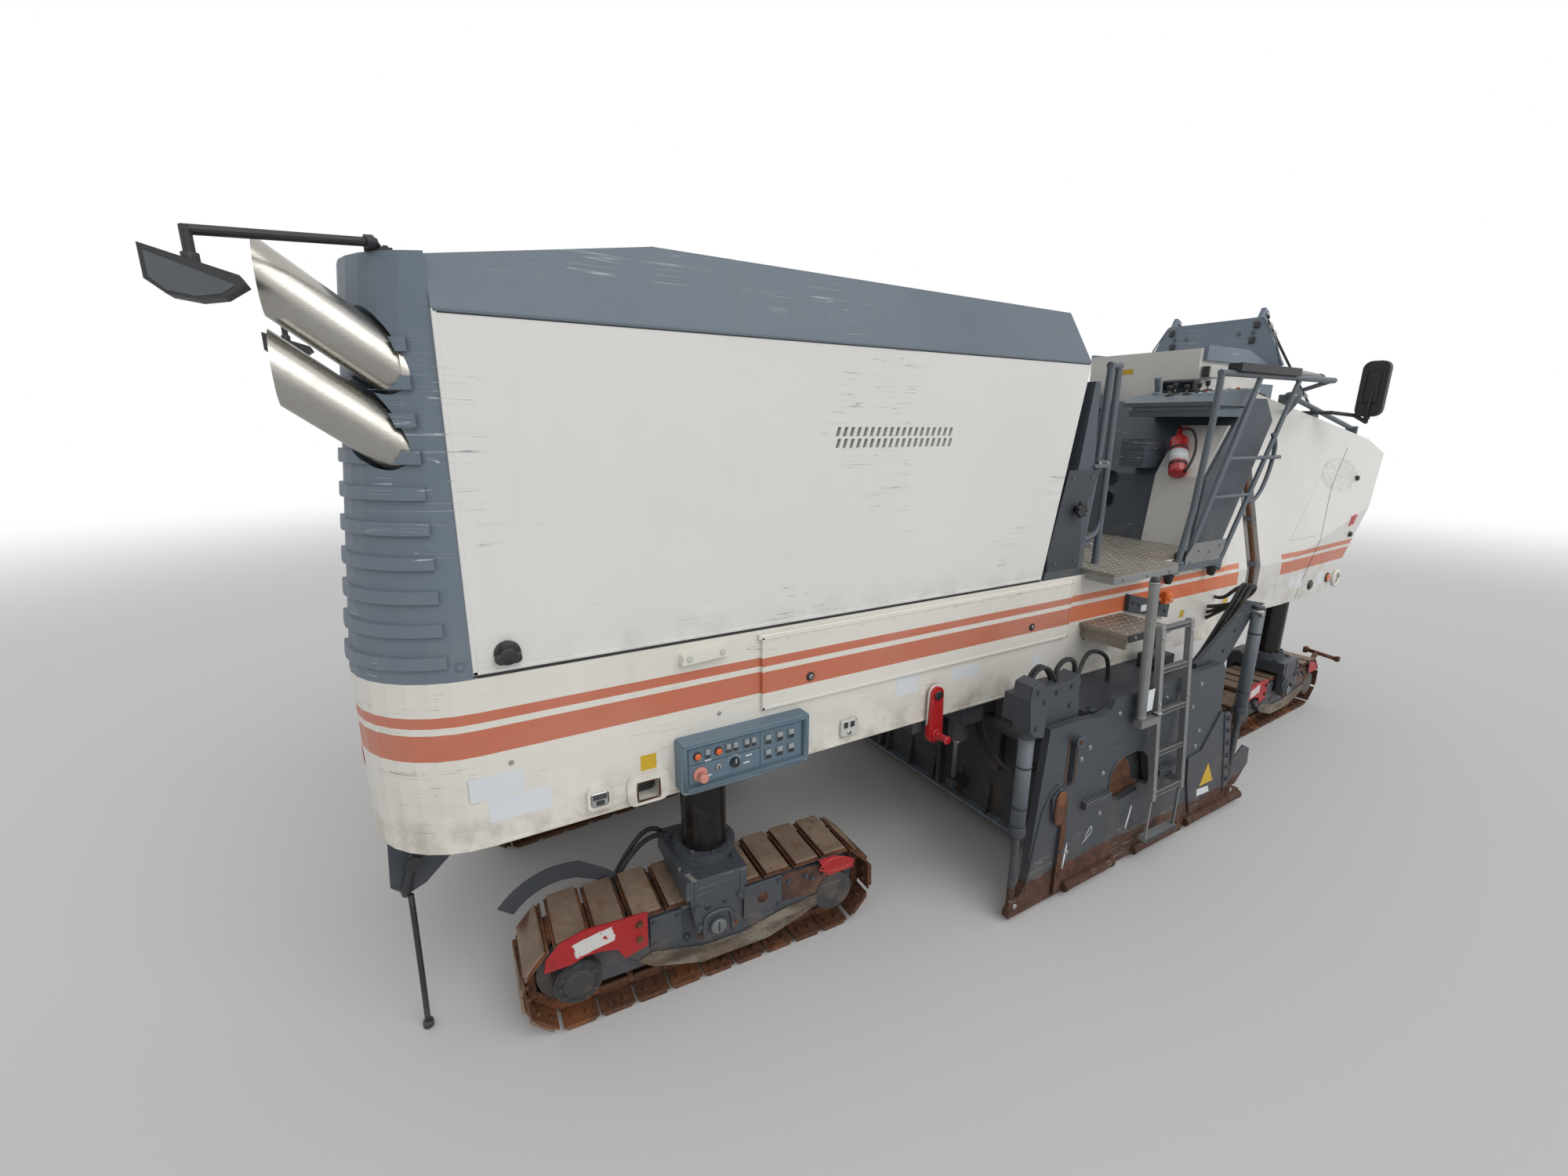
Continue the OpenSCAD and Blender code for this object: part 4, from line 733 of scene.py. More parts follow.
# Serrated rungs, end caps, cleats and the cap of the grab post on each ladder
def makeLadderParts(sideName, side):
    piece = Piece("ladderParts_" + sideName, "side_plate_" + sideName, side)
    lean = math.atan(88 / 960)
    base = side @ Matrix.Translation((-0.33, plateOut - 0.1, 0.42)) @ Matrix.Rotation(-lean, 4, "X")
    piece.at = base
    for z in (0.02, 0.25, 0.48, 0.71, 0.93):
        for k in range(12):
            x = 0.036 + 0.0192 * k
            piece.block("galvanised", (x, 0.001, z + 0.024), (x + 0.008, 0.031, z + 0.031), 0.002)
        piece.block("darkMetal", (0.034, 0.0005, z + 0.006), (0.268, 0.0035, z + 0.02), 0.001)
    for x in (0, 0.27):
        piece.block("galvanised", (x - 0.002, -0.002, 0.94), (x + 0.034, 0.034, 0.968), 0.004)
        piece.studs("brightSteel", 0, [(x + 0.016, z) for z in (0.06, 0.545, 0.9)], 0.008, 0.006)
    piece.at = side
    foot, head = Vector((-0.46, plateOut - 0.042, 0.888)), Vector((-0.52, plateOut - 0.042, 1.64))
    way = (head - foot).normalized()
    piece.rod("galvanised", head - way * 0.002, head + way * 0.01, 0.026, 24, 0.004)
    piece.rod("blackPlastic", head + way * 0.008, head + way * 0.034, 0.025, 24, 0.008, tip=0.014)
    piece.rod("galvanised", foot + way * 0.03, foot + way * 0.045, 0.0265, 24, 0.003)
    piece.block("stickerWhite", (-0.4435, plateOut - 0.0385, 0.94), (-0.36, plateOut - 0.037, 1.06))
    piece.block("brightSteel", (-0.352, plateOut - 0.075, 0.918), (-0.322, plateOut - 0.035, 0.93), 0.004)
    for z in (0.166, 0.174, 0.182):
        piece.rod("darkMetal", (-0.318, plateOut - 0.099, z), (-0.04, plateOut - 0.099, z), 0.0022, 6)
    piece.done()


onBothSides(makePlateParts, makeLadderParts)


# Parts on the milling unit's arms: cylinder caps, pins, clamps, small hoses and valves
def makeUnitParts(sideName, side):
    piece = Piece("unitParts_" + sideName, "chassis", side)
    y = -1.28
    rear, front = -1.267, 0.757
    for x, low, high in ((rear, 0.484, 0.996), (front, 0.64, 1.32)):
        piece.post("slateUnit", (x, y), low - 0.004, low + 0.045, 0.04, 28, 0.004)
        piece.post("brightSteel", (x, y), low - 0.01, low - 0.002, 0.026, 28, 0.002)
        for z in (low + 0.14, high - 0.16):
            piece.post("darkMetal", (x, y), z, z + 0.012, 0.036, 28)
        piece.post("slateUnit", (x + 0.03, y + 0.02), low + 0.06, high - 0.05, 0.007, 10)
        piece.post("slateRail", (x, y), low + 0.047, high - 0.01, 0.035, 32)
    piece.post("slateUnit", (front, y), 1.316, 1.336, 0.03, 24, 0.006)
    piece.pin("brightSteel", (front - 0.02, 1.3), y - 0.036, y + 0.04, 0.018, 20, 0.003)
    # cover over the head of the rear cylinder
    piece.plate("slateUnit", [(-1.341, 1.268), (-1.29, 1.281), (-1.228, 1.227), (-1.219, 1.17),
        (-1.228, 1.001), (-1.297, 1.018), (-1.327, 1.052), (-1.348, 1.205)], -1.335, {"y": -0.006}, 0.003)
    piece.studs("slateUnit", -1.341, [(-1.3, 1.235), (-1.25, 1.18), (-1.29, 1.06)], 0.009, 0.007)
    # arm plates: bolts and a pin
    piece.studs("slateUnit", -1.25, [(-1.15, 1.15), (-1.04, 1.15), (-0.93, 1.16), (-0.93, 1.06)], 0.012,
        0.007)
    piece.pin("slateUnit", (-0.935, 0.9), -1.338, -1.329, 0.03, 28, 0.003)
    piece.pin("rustySteel", (-0.935, 0.9), -1.342, -1.336, 0.012, 6, smooth=False)
    # crumbs of asphalt and rust behind the plate's opening, and a black sheet in its slot that paints the
    # shade there
    piece.plate("rustySteel", [(-0.62, 0.38), (-0.64, 0.56), (-0.56, 0.68), (-0.44, 0.69), (-0.33, 0.56),
        (-0.3, 0.47), (-0.19, 0.44), (-0.19, 0.38)], -1.2505, {"y": -0.0015})
    # black sheet: painted shade in the slot
    piece.plate("blackPlastic", [(-0.33, 0.58), (-0.44, 0.7), (-0.19, 0.7), (-0.19, 0.445), (-0.3, 0.478)],
        -1.2505, {"y": -0.001})
    piece.studs("slateUnit", -1.25, [(0.3, 0.985), (0.39, 1.02), (0.48, 1.09), (0.58, 1.2), (0.68, 1.3)],
        0.01, 0.007)
    for x, z in ((0.415, 1.045), (0.52, 1.15), (0.62, 1.262)):
        piece.tube("hoseRubber", [(x - 0.07, -1.222, z - 0.075), (x - 0.02, -1.214, z + 0.01),
            (x + 0.07, -1.222, z + 0.085)], 0.01, 8)
    # thick hoses that follow the front arm up to its head
    for k in range(3):
        piece.tube("hoseRubber", [(0.25, -1.218 + 0.026 * k, 0.985), (0.37, -1.212 + 0.026 * k, 1.02),
            (0.52, -1.205 + 0.026 * k, 1.14), (0.72, -1.205 + 0.026 * k, 1.345),
            (0.82, -1.19 + 0.026 * k, 1.43), (0.93, -1.17 + 0.026 * k, 1.415), (1.0, -1.12, 1.33),
            (1.03, -1.0, 1.23), (1.04, -0.862, 1.19 - 0.04 * k)], 0.013, 10)
    # rear cylinder's hoses over the cap
    for k in range(2):
        piece.tube("hoseRubber", [(-1.02, -1.19 - 0.03 * k, 1.195), (-1.08, -1.2 - 0.03 * k, 1.275),
            (-1.18, -1.22 - 0.02 * k, 1.3), (-1.25, -1.225 - 0.02 * k, 1.225), (-1.23, -1.235, 1.12),
            (-1.205, -1.245, 0.96), (-1.228, -1.262, 0.7), (-1.236, -1.272, 0.54)], 0.0095, 8)
    # valve block with fittings on the deck, and the deck's walkway edge
    piece.block("darkMetal", (0.15, -1.06, 0.955), (0.33, -0.93, 1.04), 0.006, 2)
    for k in range(5):
        x = 0.17 + 0.034 * k
        piece.post("galvanised", (x, -0.995), 1.038, 1.075, 0.012, 6, smooth=False)
        piece.tube("hoseRubber", [(x, -0.995, 1.07), (x + 0.01, -0.985, 1.15), (x + 0.03, -0.93, 1.19),
            (x + 0.05, -0.864, 1.2)], 0.009, 8)
    piece.blocks("slateUnit", [((-0.715, -1.235, 0.954), (0.345, -1.205, 0.972), 0.003),
        ((-0.7, -1.15, 0.953), (0.13, -0.9, 0.958), 0.002)])
    piece.bolts("slateUnit", [(x, -1.18, 0.956) for x in (-0.66, -0.48, -0.3, -0.12, 0.06, 0.24)], 0.013,
        0.01, (0, 0, 1))
    piece.done()


onBothSides(makeUnitParts)


# Chassis sides: a small lamp, the lashing eye, a socket, stickers without words, trims
def makeChassisParts():
    piece = Piece("chassisParts", "chassis")
    y = -0.86
    # small lamp in its bright frame
    piece.block("brightSteel", (-3.149, y - 0.0235, 1.006), (-3.085, y + 0.002, 1.062), 0.004)
    piece.block("mirrorGlass", (-3.143, y - 0.025, 1.034), (-3.091, y - 0.0225, 1.057), 0.001)
    piece.block("darkMetal", (-3.131, y - 0.0255, 1.012), (-3.101, y - 0.023, 1.03), 0.001)
    # a dark plate deep in the lashing eye's hole as painted shade, and rust round its rim
    piece.block("darkMetal", (-2.977, y + 0.06, 0.966), (-2.879, y + 0.064, 1.054), 0.002)
    rim = [(-2.972, 0.97), (-2.884, 0.97), (-2.882, 0.978), (-2.882, 1.048), (-2.972, 1.05)]
    piece.tube("rustySteel", [(x, y - 0.011, z) for x, z in rim + rim[:1]], 0.0055, 6, 0)
    # yellow and white stickers, all without words
    piece.block("stickerYellow", (-2.951, y - 0.0012, 1.09), (-2.889, y + 0.001, 1.152))
    piece.blocks("stickerWhite", [((-3.538, y - 0.0012, 1.136), (-3.365, y + 0.001, 1.222)),
        ((-3.485, y - 0.001, 1.046), (-3.277, y + 0.001, 1.13)),
        ((-1.7, y - 0.0012, 1.12), (-1.56, y + 0.001, 1.215)),
        ((-1.335, y - 0.0012, 1.13), (-1.15, y + 0.001, 1.195)),
        ((-0.735, y - 0.0012, 1.06), (-0.66, y + 0.001, 1.15))])
    piece.block("stickerYellow", (0.7, y - 0.0012, 1.16), (0.748, y + 0.001, 1.208))
    piece.block("stickerWhite", (0.755, y - 0.0012, 1.165), (0.8, y + 0.001, 1.205))
    # white raised plate's studs and the small socket ahead of the panel
    piece.studs("whitePlastic", y - 0.042, [(-2.755, 1.519), (-2.62, 1.524)], 0.01, 0.004)
    piece.block("whitePlastic", (-2.024, y - 0.012, 0.992), (-1.93, y + 0.001, 1.078), 0.008, 2)
    piece.blocks("darkMetal", [((-2.008, y - 0.0135, 1.038), (-1.984, y - 0.011, 1.066)),
        ((-1.972, y - 0.0135, 1.038), (-1.948, y - 0.011, 1.066))], 0.002)
    piece.pin("brightSteel", (-1.978, 1.014), y - 0.012, y - 0.0145, 0.011, 16)
    piece.studs("brightSteel", y - 0.012, [(-2.016, 1.0), (-1.938, 1.07)], 0.004, 0.003)
    # rubber lip under the hood
    piece.block("blackPlastic", (-3.47, y + 0.002, 1.5712), (-0.735, y + 0.02, 1.5818), 0.002)
    # lower edge lip of the chassis, and screws
    piece.block("whiteChassis", (-3.48, y - 0.003, 0.9555), (1.175, y + 0.002, 0.968), 0.001)
    piece.studs("brightSteel", y, [(-3.4, 1.252), (-2.62, 1.252), (-0.3, 1.18), (0.2, 1.1), (0.62, 1.1)],
        0.007, 0.005)
    piece.done()


makeChassisParts()


# Tool door: folded rim, two latches in round recesses, hinge knuckles
def makeDoorParts():
    piece = Piece("doorParts", "service_door")
    y = -0.8743
    low, high, bottom, top = -2.431, -0.471, 1.226, 1.542
    wide, inset = 0.012, 0.0005
    for x, z, farX, farZ in ((low, bottom, low + wide, top), (high - wide, bottom, high, top),
            (low, bottom, high, bottom + wide), (low, top - 0.01, high, top)):
        piece.block("whiteChassis", (x + inset, y - 0.003, z + inset),
            (farX - inset, y + 0.001, farZ - inset), 0.001)
    for x in (-2.197, -0.785):
        piece.pin("blackPlastic", (x, 1.332), y + 0.001, y - 0.006, 0.02, 28, 0.003)
        piece.pin("brightSteel", (x, 1.332), y - 0.005, y - 0.012, 0.0105, 20, 0.002)
        piece.block("darkMetal", (x - 0.0022, y - 0.0125, 1.325), (x + 0.0022, y - 0.0105, 1.339))
    knuckles = 10
    for k in range(knuckles):
        x = low + 0.03 + (high - low - 0.06) * (k + 0.5) / knuckles
        piece.rod("whiteChassis", (x - 0.02, -0.8673, 1.546), (x + 0.02, -0.8673, 1.546), 0.0082, 16, 0.001)
        piece.studs("whiteChassis", y, [(x, 1.524)], 0.006, 0.003)
    piece.done()


makeDoorParts()


# Ground control panel: frame, lamps, rockers, stop button, key switch and dial
def makePanelParts():
    piece = Piece("panelParts", "chassis")
    y = -0.916
    piece.block("panelBlue", (-2.782, y - 0.004, 1.006), (-2.268, y + 0.001, 1.16), 0.003)
    piece.blocks("darkMetal", [((-2.776, y - 0.0048, 1.089), (-2.47, y - 0.003, 1.0915)),
        ((-2.468, y - 0.0048, 1.01), (-2.4655, y - 0.003, 1.156))])
    for x in (-2.745, -2.655):
        piece.pin("darkMetal", (x, 1.125), y - 0.003, y - 0.01, 0.018, 20, 0.002)
        piece.pin("lampOrange", (x, 1.125), y - 0.009, y - 0.018, 0.0135, 20, 0.004)
    # rocker switches of two sizes: frame, raised key and its pressed end
    small, large = (-0.022, 0.022, -0.004, 0.018, -0.018, -0.005), (-0.022, 0.024, -0.002, 0.02, -0.019,
        -0.004)
    rockers = [(x, 1.126, 0.014, small) for x in (-2.702, -2.612, -2.58, -2.53, -2.498)]
    rockers += [(x, z, 0.017, large) for x in (-2.43, -2.375, -2.32) for z in (1.118, 1.052)]
    for x, z, half, (low, high, keyLow, keyHigh, endLow, endHigh) in rockers:
        key = half - 0.004
        piece.block("greyPlastic", (x - half, y - 0.009, z + low), (x + half, y - 0.003, z + high), 0.002)
        piece.block("greyLight", (x - key, y - 0.014, z + keyLow), (x + key, y - 0.008, z + keyHigh), 0.003)
        piece.block("darkMetal", (x - key, y - 0.011, z + endLow), (x + key, y - 0.008, z + endHigh), 0.002)
    # faded pink stop button, key switch, dial with its marks, and blank labels
    piece.pins("stopPink", [((-2.735, 1.046), y - 0.003, y - 0.014, 0.031, 28, 0.004),
        ((-2.735, 1.046), y - 0.013, y - 0.036, 0.012, 24)])
    piece.pin("stopPink", (-2.735, 1.046), y - 0.034, y - 0.052, 0.02, 28, 0.003, tip=0.018)
    piece.pin("brightSteel", (-2.655, 1.056), y - 0.003, y - 0.011, 0.013, 24, 0.002)
    piece.block("darkMetal", (-2.657, y - 0.0125, 1.048), (-2.653, y - 0.01, 1.064))
    piece.pin("blackPlastic", (-2.585, 1.058), y - 0.003, y - 0.022, 0.021, 16, 0.002, tip=0.018,
        smooth=False)
    piece.block("whitePlastic", (-2.587, y - 0.0235, 1.06), (-2.583, y - 0.021, 1.078))
    for k in range(7):
        a = math.pi * (0.15 + 0.7 * k / 6)
        x, z = -2.585 + 0.03 * math.cos(a), 1.058 + 0.03 * math.sin(a)
        piece.block("stickerWhite", (x - 0.002, y - 0.005, z - 0.002), (x + 0.002, y - 0.0038, z + 0.002))
    for x, z in ((-2.7, 1.03), (-2.53, 1.04), (-2.52, 1.07), (-2.7, 1.096)):
        piece.block("stickerWhite", (x - 0.014, y - 0.005, z - 0.003), (x + 0.014, y - 0.0038, z + 0.003))
    piece.studs("brightSteel", -0.93, [(x, z) for x in (-2.8, -2.525, -2.25) for z in (0.988, 1.178)],
        0.006, 0.004)
    piece.bow("panelBlue", y - 0.012, [(-2.8, 0.992), (-2.8, 1.176), (-2.25, 1.176), (-2.25, 0.992),
        (-2.8, 0.992)], 0.01, 8, 0)
    # hood of the panel and the hinge rod under it
    piece.block("panelBlue", (-2.812, -0.937, 1.18), (-2.238, -0.864, 1.192), 0.004, 2)
    piece.rod("panelBlue", (-2.78, -0.926, 0.976), (-2.27, -0.926, 0.976), 0.006, 12)
    piece.done()


makePanelParts()


# Red lever: black cap, bent frame behind it, boss, grip and raised edges
def makeLeverParts():
    piece = Piece("leverParts", "chassis")
    piece.pin("blackPlastic", (-1.465, 1.098), -0.901, -0.914, 0.025, 32, 0.005)
    turns = [k * math.pi / 8 for k in range(-4, 5)]
    arch = [(0.0385 * math.sin(a) - 1.465, 1.1 + 0.0385 * math.cos(a)) for a in turns]
    piece.bow("whiteChassis", -0.88, [(-1.507, 0.94)] + arch + [(-1.423, 0.94)], 0.006, 8, 0)
    piece.pins("redPaint", [((-1.465, 0.89), -0.901, -0.915, 0.03, 28, 0.004),
        ((-1.465, 0.89), -0.978, -0.99, 0.0215, 24, 0.006), ((-1.465, 0.89), -0.914, -0.93, 0.0205, 24,
        0.002)])
    for s in (-1, 1):
        edge = [(-1.465 + 0.031 * s, -0.902, 1.075), (-1.465 + 0.036 * s, -0.903, 0.99),
            (-1.465 + 0.04 * s, -0.902, 0.915)]
        piece.tube("redPaint", edge, 0.0035, 8)
    piece.done()


makeLeverParts()


# Platform: treads' edges, tray, buffers, clamps, desk knobs and the lamp's lens
def makePlatformParts(sideName, side):
    piece = Piece("platformParts_" + sideName, "chassis", side)
    # bent rims of the folding step and of the lower step, which has two struts
    piece.block("galvanised", (-0.385, -1.053, 1.552), (0.23, -1.046, 1.59), 0.002)
    for x in (-0.388, 0.226):
        piece.block("galvanised", (x, -1.05, 1.552), (x + 0.007, -0.88, 1.59), 0.002)
    piece.studs("galvanised", -1.053, [(x, 1.57) for x in (-0.3, -0.08, 0.14)], 0.007, 0.006)
    piece.block("darkMetal", (-0.359, -1.163, 1.252), (0.044, -1.156, 1.294), 0.002)
    piece.studs("brightSteel", -1.163, [(x, 1.275) for x in (-0.3, -0.16, -0.02)], 0.007, 0.006)
    for x in (-0.31, -0.018):
        piece.tube("darkMetal", [(x, -0.87, 1.235), (x, -0.96, 1.225), (x + 0.02, -1.06, 1.245),
            (x, -1.1, 1.268)], 0.009, 8)
    # slate lamp box beside the lower step, with a blank tag
    piece.plate("slateCrawler", [(0.06, 1.405), (0.505, 1.29), (0.498, 1.2), (0.06, 1.3)], -0.859,
        {"y": -0.033}, 0.004)
    piece.studs("slateCrawler", -0.892, [(0.1, 1.35), (0.16, 1.33), (0.455, 1.25)], 0.009, 0.007)
    piece.block("stickerWhite", (0.185, -0.8945, 1.283), (0.262, -0.89, 1.322))
    # buffers under the ledge
    for x in (0.423, 0.922):
        piece.post("blackPlastic", (x, -0.9), 1.43, 1.496, 0.02, 24, 0.006, tip=0.034)
        piece.block("slateRail", (x - 0.035, -0.945, 1.496), (x + 0.035, -0.858, 1.503), 0.002)
    # galvanised tray with bent rims between the rail's tubes
    low, high, bottom, top = 0.56, 1.015, 1.5402, 1.668
    piece.block("galvanised", (low, -0.912, bottom), (high, -0.828, bottom + 0.004), 0.001)
    piece.plate("galvanised", [(low, bottom), (high - 0.06, bottom), (high - 0.015, 1.6), (high, top),
        (0.64, top), (low, 1.585)], -0.912, {"y": -0.003})
    piece.plate("galvanised", [(low, bottom), (high - 0.06, bottom), (high - 0.015, 1.58), (high, 1.6),
        (0.64, 1.6), (low, 1.565)], -0.828, {"y": 0.003})
    piece.studs("galvanised", -0.915, [(0.7, 1.615), (0.82, 1.6), (0.94, 1.63)], 0.007, 0.006)
    # bulkhead's side panel with studs, its ledge and the black star knob
    piece.plate("slateHidden", [(-0.592, 2.15), (-0.33, 2.15), (-0.45, 1.9), (-0.43, 1.76), (-0.43, 1.62),
        (-0.69, 1.62), (-0.7, 1.7)], -0.862, {"y": 0.012}, 0.003)
    piece.studs("slateRail", -0.862, [(-0.56, 2.11), (-0.4, 2.11), (-0.64, 1.66), (-0.47, 1.66)], 0.008,
        0.006)
    piece.block("slateRail", (-0.392, -0.868, 2.156), (-0.262, -0.7, 2.176), 0.004, 2)
    piece.pin("blackPlastic", (-0.512, 1.945), -0.862, -0.894, 0.018, 20)
    for k in range(7):
        a = 2 * math.pi * k / 7
        x, z = -0.512 + 0.03 * math.cos(a), 1.945 + 0.03 * math.sin(a)
        piece.pin("blackPlastic", (x, z), -0.888, -0.91, 0.013, 12, 0.003)
    piece.pin("blackPlastic", (-0.512, 1.945), -0.886, -0.908, 0.032, 28, 0.004)
    # clamps that hold the hairpin rail
    for z in (2.165, 1.72):
        x = -0.285 if z > 2 else -0.345
        piece.block("slateRail", (x - 0.042, -0.842, z), (x + 0.042, -0.778, z + 0.03), 0.006, 2)
        piece.studs("brightSteel", -0.842, [(x - 0.034, z + 0.015), (x + 0.034, z + 0.015)], 0.007, 0.006)
    # branch from the hairpin to the bulkhead, the round handle past the last post, and feet of posts
    piece.tube("slateRail", [(-0.205, -0.81, 1.88), (-0.22, -0.812, 1.8), (-0.29, -0.818, 1.765),
        (-0.42, -0.835, 1.755)], 0.015, 10)
    piece.tube("slateRail", [(1.27, -0.885, 1.9), (1.32, -0.885, 1.88), (1.43, -0.88, 1.94),
        (1.52, -0.87, 2.06), (1.56, -0.866, 2.2), (1.52, -0.878, 2.3), (1.45, -0.885, 2.33)], 0.014, 10)
    for x in (0.53, 0.615):
        piece.post("slateRail", (x, -0.885), 1.54, 1.56, 0.034, 24, 0.004)
    piece.studs("slateRail", -0.899, [(1.015, 1.465), (1.015, 1.495)], 0.009, 0.007)
    # arm pad's seams
    for k in range(2):
        piece.rod("blackPlastic", (0.836, -0.914 + 0.058 * k, 2.747), (1.594, -0.914 + 0.058 * k, 2.747),
            0.0075, 10)
    # lens of the orange lamp
    piece.pin("lampOrange", (0.4, 1.36), -0.938, -0.946, 0.03, 28, 0.005)
    # knobs, grips and lamps on the sloping desk
    slope = Matrix.Rotation(-math.atan2(0.048, 0.36), 4, "Y")
    piece.at = side @ Matrix.Translation((0.88, 0, 2.572)) @ slope
    for x, y, high, thick in ((0.02, -0.47, 0.062, 0.017), (0.06, -0.56, 0.06, 0.016),
            (0.12, -0.45, 0.066, 0.018), (0.21, -0.56, 0.058, 0.016), (0.31, -0.56, 0.062, 0.017)):
        piece.post("blackPlastic", (x, y), -0.003, 0.01, 0.026, 24, 0.003)
        piece.post("brightSteel", (x, y), 0.008, 0.008 + high * 0.5, 0.005, 10)
        piece.post("blackPlastic", (x, y), 0.002 + high * 0.45, 0.004 + high, thick * 0.7, 20, 0.005,
            tip=thick)
    piece.post("greyPlastic", (0.12, -0.33), -0.003, 0.022, 0.04, 24, 0.004, tip=0.026)
    piece.rod("greyPlastic", (0.12, -0.33, 0.018), (0.105, -0.335, 0.117), 0.017, 20, 0.006, tip=0.023)
    piece.block("panelBlue", (0.01, -0.79, -0.002), (0.352, -0.61, 0.004), 0.002)
    for k in range(4):
        for j in range(3):
            x, y = 0.052 + 0.083 * k, -0.755 + 0.052 * j
            piece.post("whitePlastic" if (k + j) % 3 else "lampOrange", (x, y), 0.002, 0.015, 0.011, 16,
                0.002)
    piece.block("blackPlastic", (0.25, -0.5, -0.002), (0.335, -0.28, 0.082), 0.008, 2)
    piece.block("mirrorGlass", (0.247, -0.485, 0.022), (0.2515, -0.295, 0.072), 0.001)
    piece.done()


onBothSides(makePlatformParts)


# Extinguisher: valve, lever, hose, straps and its blank label
def makeExtinguisherParts():
    piece = Piece("extinguisherParts", "chassis")
    foot, head = Vector((0.8, -0.655, 2.08)), Vector((0.935, -0.56, 2.29))
    way = (head - foot).normalized()
    piece.rod("redPaint", head - way * 0.002, head + way * 0.026, 0.053, 32, 0.006, tip=0.03)
    for along in (0.05, 0.175):
        piece.rod("darkMetal", foot + way * along, foot + way * (along + 0.016), 0.0564, 36)
    piece.rod("stickerWhite", foot + way * 0.08, foot + way * 0.162, 0.0555, 36)
    neck = Vector((0.969, -0.536, 2.342))
    piece.rod("brightSteel", neck - way * 0.02, neck + way * 0.012, 0.014, 16)
    piece.rod("blackPlastic", neck + way * 0.004, neck + way * 0.03, 0.019, 16, 0.003)
    piece.blocks("redPaint", [((0.955, -0.555, 2.352), (1.05, -0.53, 2.362)),
        ((0.958, -0.553, 2.372), (1.06, -0.532, 2.38))], 0.003)
    piece.tube("hoseRubber", [neck + way * 0.01, (0.955, -0.6, 2.375), (0.9, -0.68, 2.33),
        (0.855, -0.72, 2.24), (0.815, -0.725, 2.15), (0.785, -0.705, 2.09)], 0.0085, 8)
    piece.rod("redPaint", foot - way * 0.012, foot + way * 0.004, 0.044, 32, 0.004, tip=0.053)
    piece.done()


makeExtinguisherParts()


# Rims of the holes in the slate wall, and the screws of the white panel on it
def makeWallParts():
    piece = Piece("wallParts", "chassis")

    def wallFace(z):  # the slate wall and the white panel on it both lean forward with height
        return 0.8145 + 0.06 * (z - 1.571) / 0.479

    def panelFace(z):
        return 0.793 + 0.0592 * (z - 1.61) / 0.45 if z < 2.06 else 0.845 + (z - 2.05) * 0.716

    for y in (-0.15, 0.15):
        for height in (1.86, 2.01):
            turns = [math.pi * k / 9 for k in range(19)]
            piece.tube("slateHidden", [(wallFace(height + 0.054 * math.sin(a)), y + 0.054 * math.cos(a),
                height + 0.054 * math.sin(a)) for a in turns], 0.004, 6, 0)
    for z in (1.66, 1.9, 2.12, 2.33):
        piece.bolts("whitePlastic", [(panelFace(z), -0.75, z), (panelFace(z), -0.51, z)], 0.006, 0.005,
            (-1, 0, 0))
    piece.done()


makeWallParts()


# Hood: a black sheet behind the slots as painted shade, folded edges, gutter, knob, inner front wall and roof
# seams
def makeHoodParts():
    piece = Piece("hoodParts", "hood")
    for _, side in sides:
        piece.at = side
        # black sheet behind the side's slots: painted shade of the space behind them
        piece.block("blackPlastic", (-2.11, -0.8405, 2.262), (-1.42, -0.832, 2.392), 0.002)
        # folded edge round each side, and the gutter where the roof sits on it
        piece.blocks("whiteHood", [((-3.4835, -0.8625, 1.584), (-3.47, -0.857, 2.684)),
            ((-3.4835, -0.8625, 1.584), (-0.735, -0.857, 1.596))], 0.0015)
        piece.block("slateRoof", (-3.48, -0.865, 2.68), (-0.522, -0.85, 2.69), 0.002)
        piece.block("darkMetal", (-3.478, -0.8608, 2.6768), (-0.525, -0.853, 2.6802))
        # round knob with three lobes
        piece.pin("blackPlastic", (-3.377, 1.645), -0.858, -0.872, 0.042, 32, 0.004)
        for k in range(3):
            a = math.pi * (0.5 + 2 * k / 3)
            x, z = -3.377 + 0.026 * math.cos(a), 1.645 + 0.026 * math.sin(a)
            piece.pin("blackPlastic", (x, z), -0.868, -0.896, 0.021, 20, 0.006, tip=0.018)
        piece.pin("blackPlastic", (-3.377, 1.645), -0.868, -0.898, 0.026, 20, 0.006)
    piece.at = Matrix()
    # wall inside the front edge, with its pressed ribs and the rubber seal above the bulkhead
    piece.plate("slateHidden", [(-0.765, 1.6), (-0.757, 1.6), (-0.543, 2.68), (-0.551, 2.68)], -0.8405,
        {"y": 1.681})
    for y in (-0.56, -0.28, 0, 0.28, 0.56):
        piece.plate("slateHidden", [(-0.741, 1.68), (-0.729, 1.68), (-0.549, 2.59), (-0.561, 2.59)],
            y - 0.045, {"y": 0.09}, 0.004)
    piece.pin("blackPlastic", (-0.536, 2.668), -0.834, 0.834, 0.014, 12)
    # roof: two cross seams with bolts, and a round bead along each side
    for x in (-2.06, -1.32):
        z = 2.954 - (x + 2.795) * 0.0109
        piece.block("slateRoof", (x - 0.014, -0.735, z - 0.002), (x + 0.014, 0.735, z + 0.0035), 0.0015)
        piece.bolts("slateRoof", [(x, y, z + 0.003) for y in (-0.68, -0.34, 0, 0.34, 0.68)], 0.007, 0.005,
            (0, 0, 1))
    for y in (-0.745, 0.745):
        piece.rod("slateRoof", (-2.79, y, 2.951), (-0.6, y, 2.927), 0.006, 8)
    piece.done()


makeHoodParts()


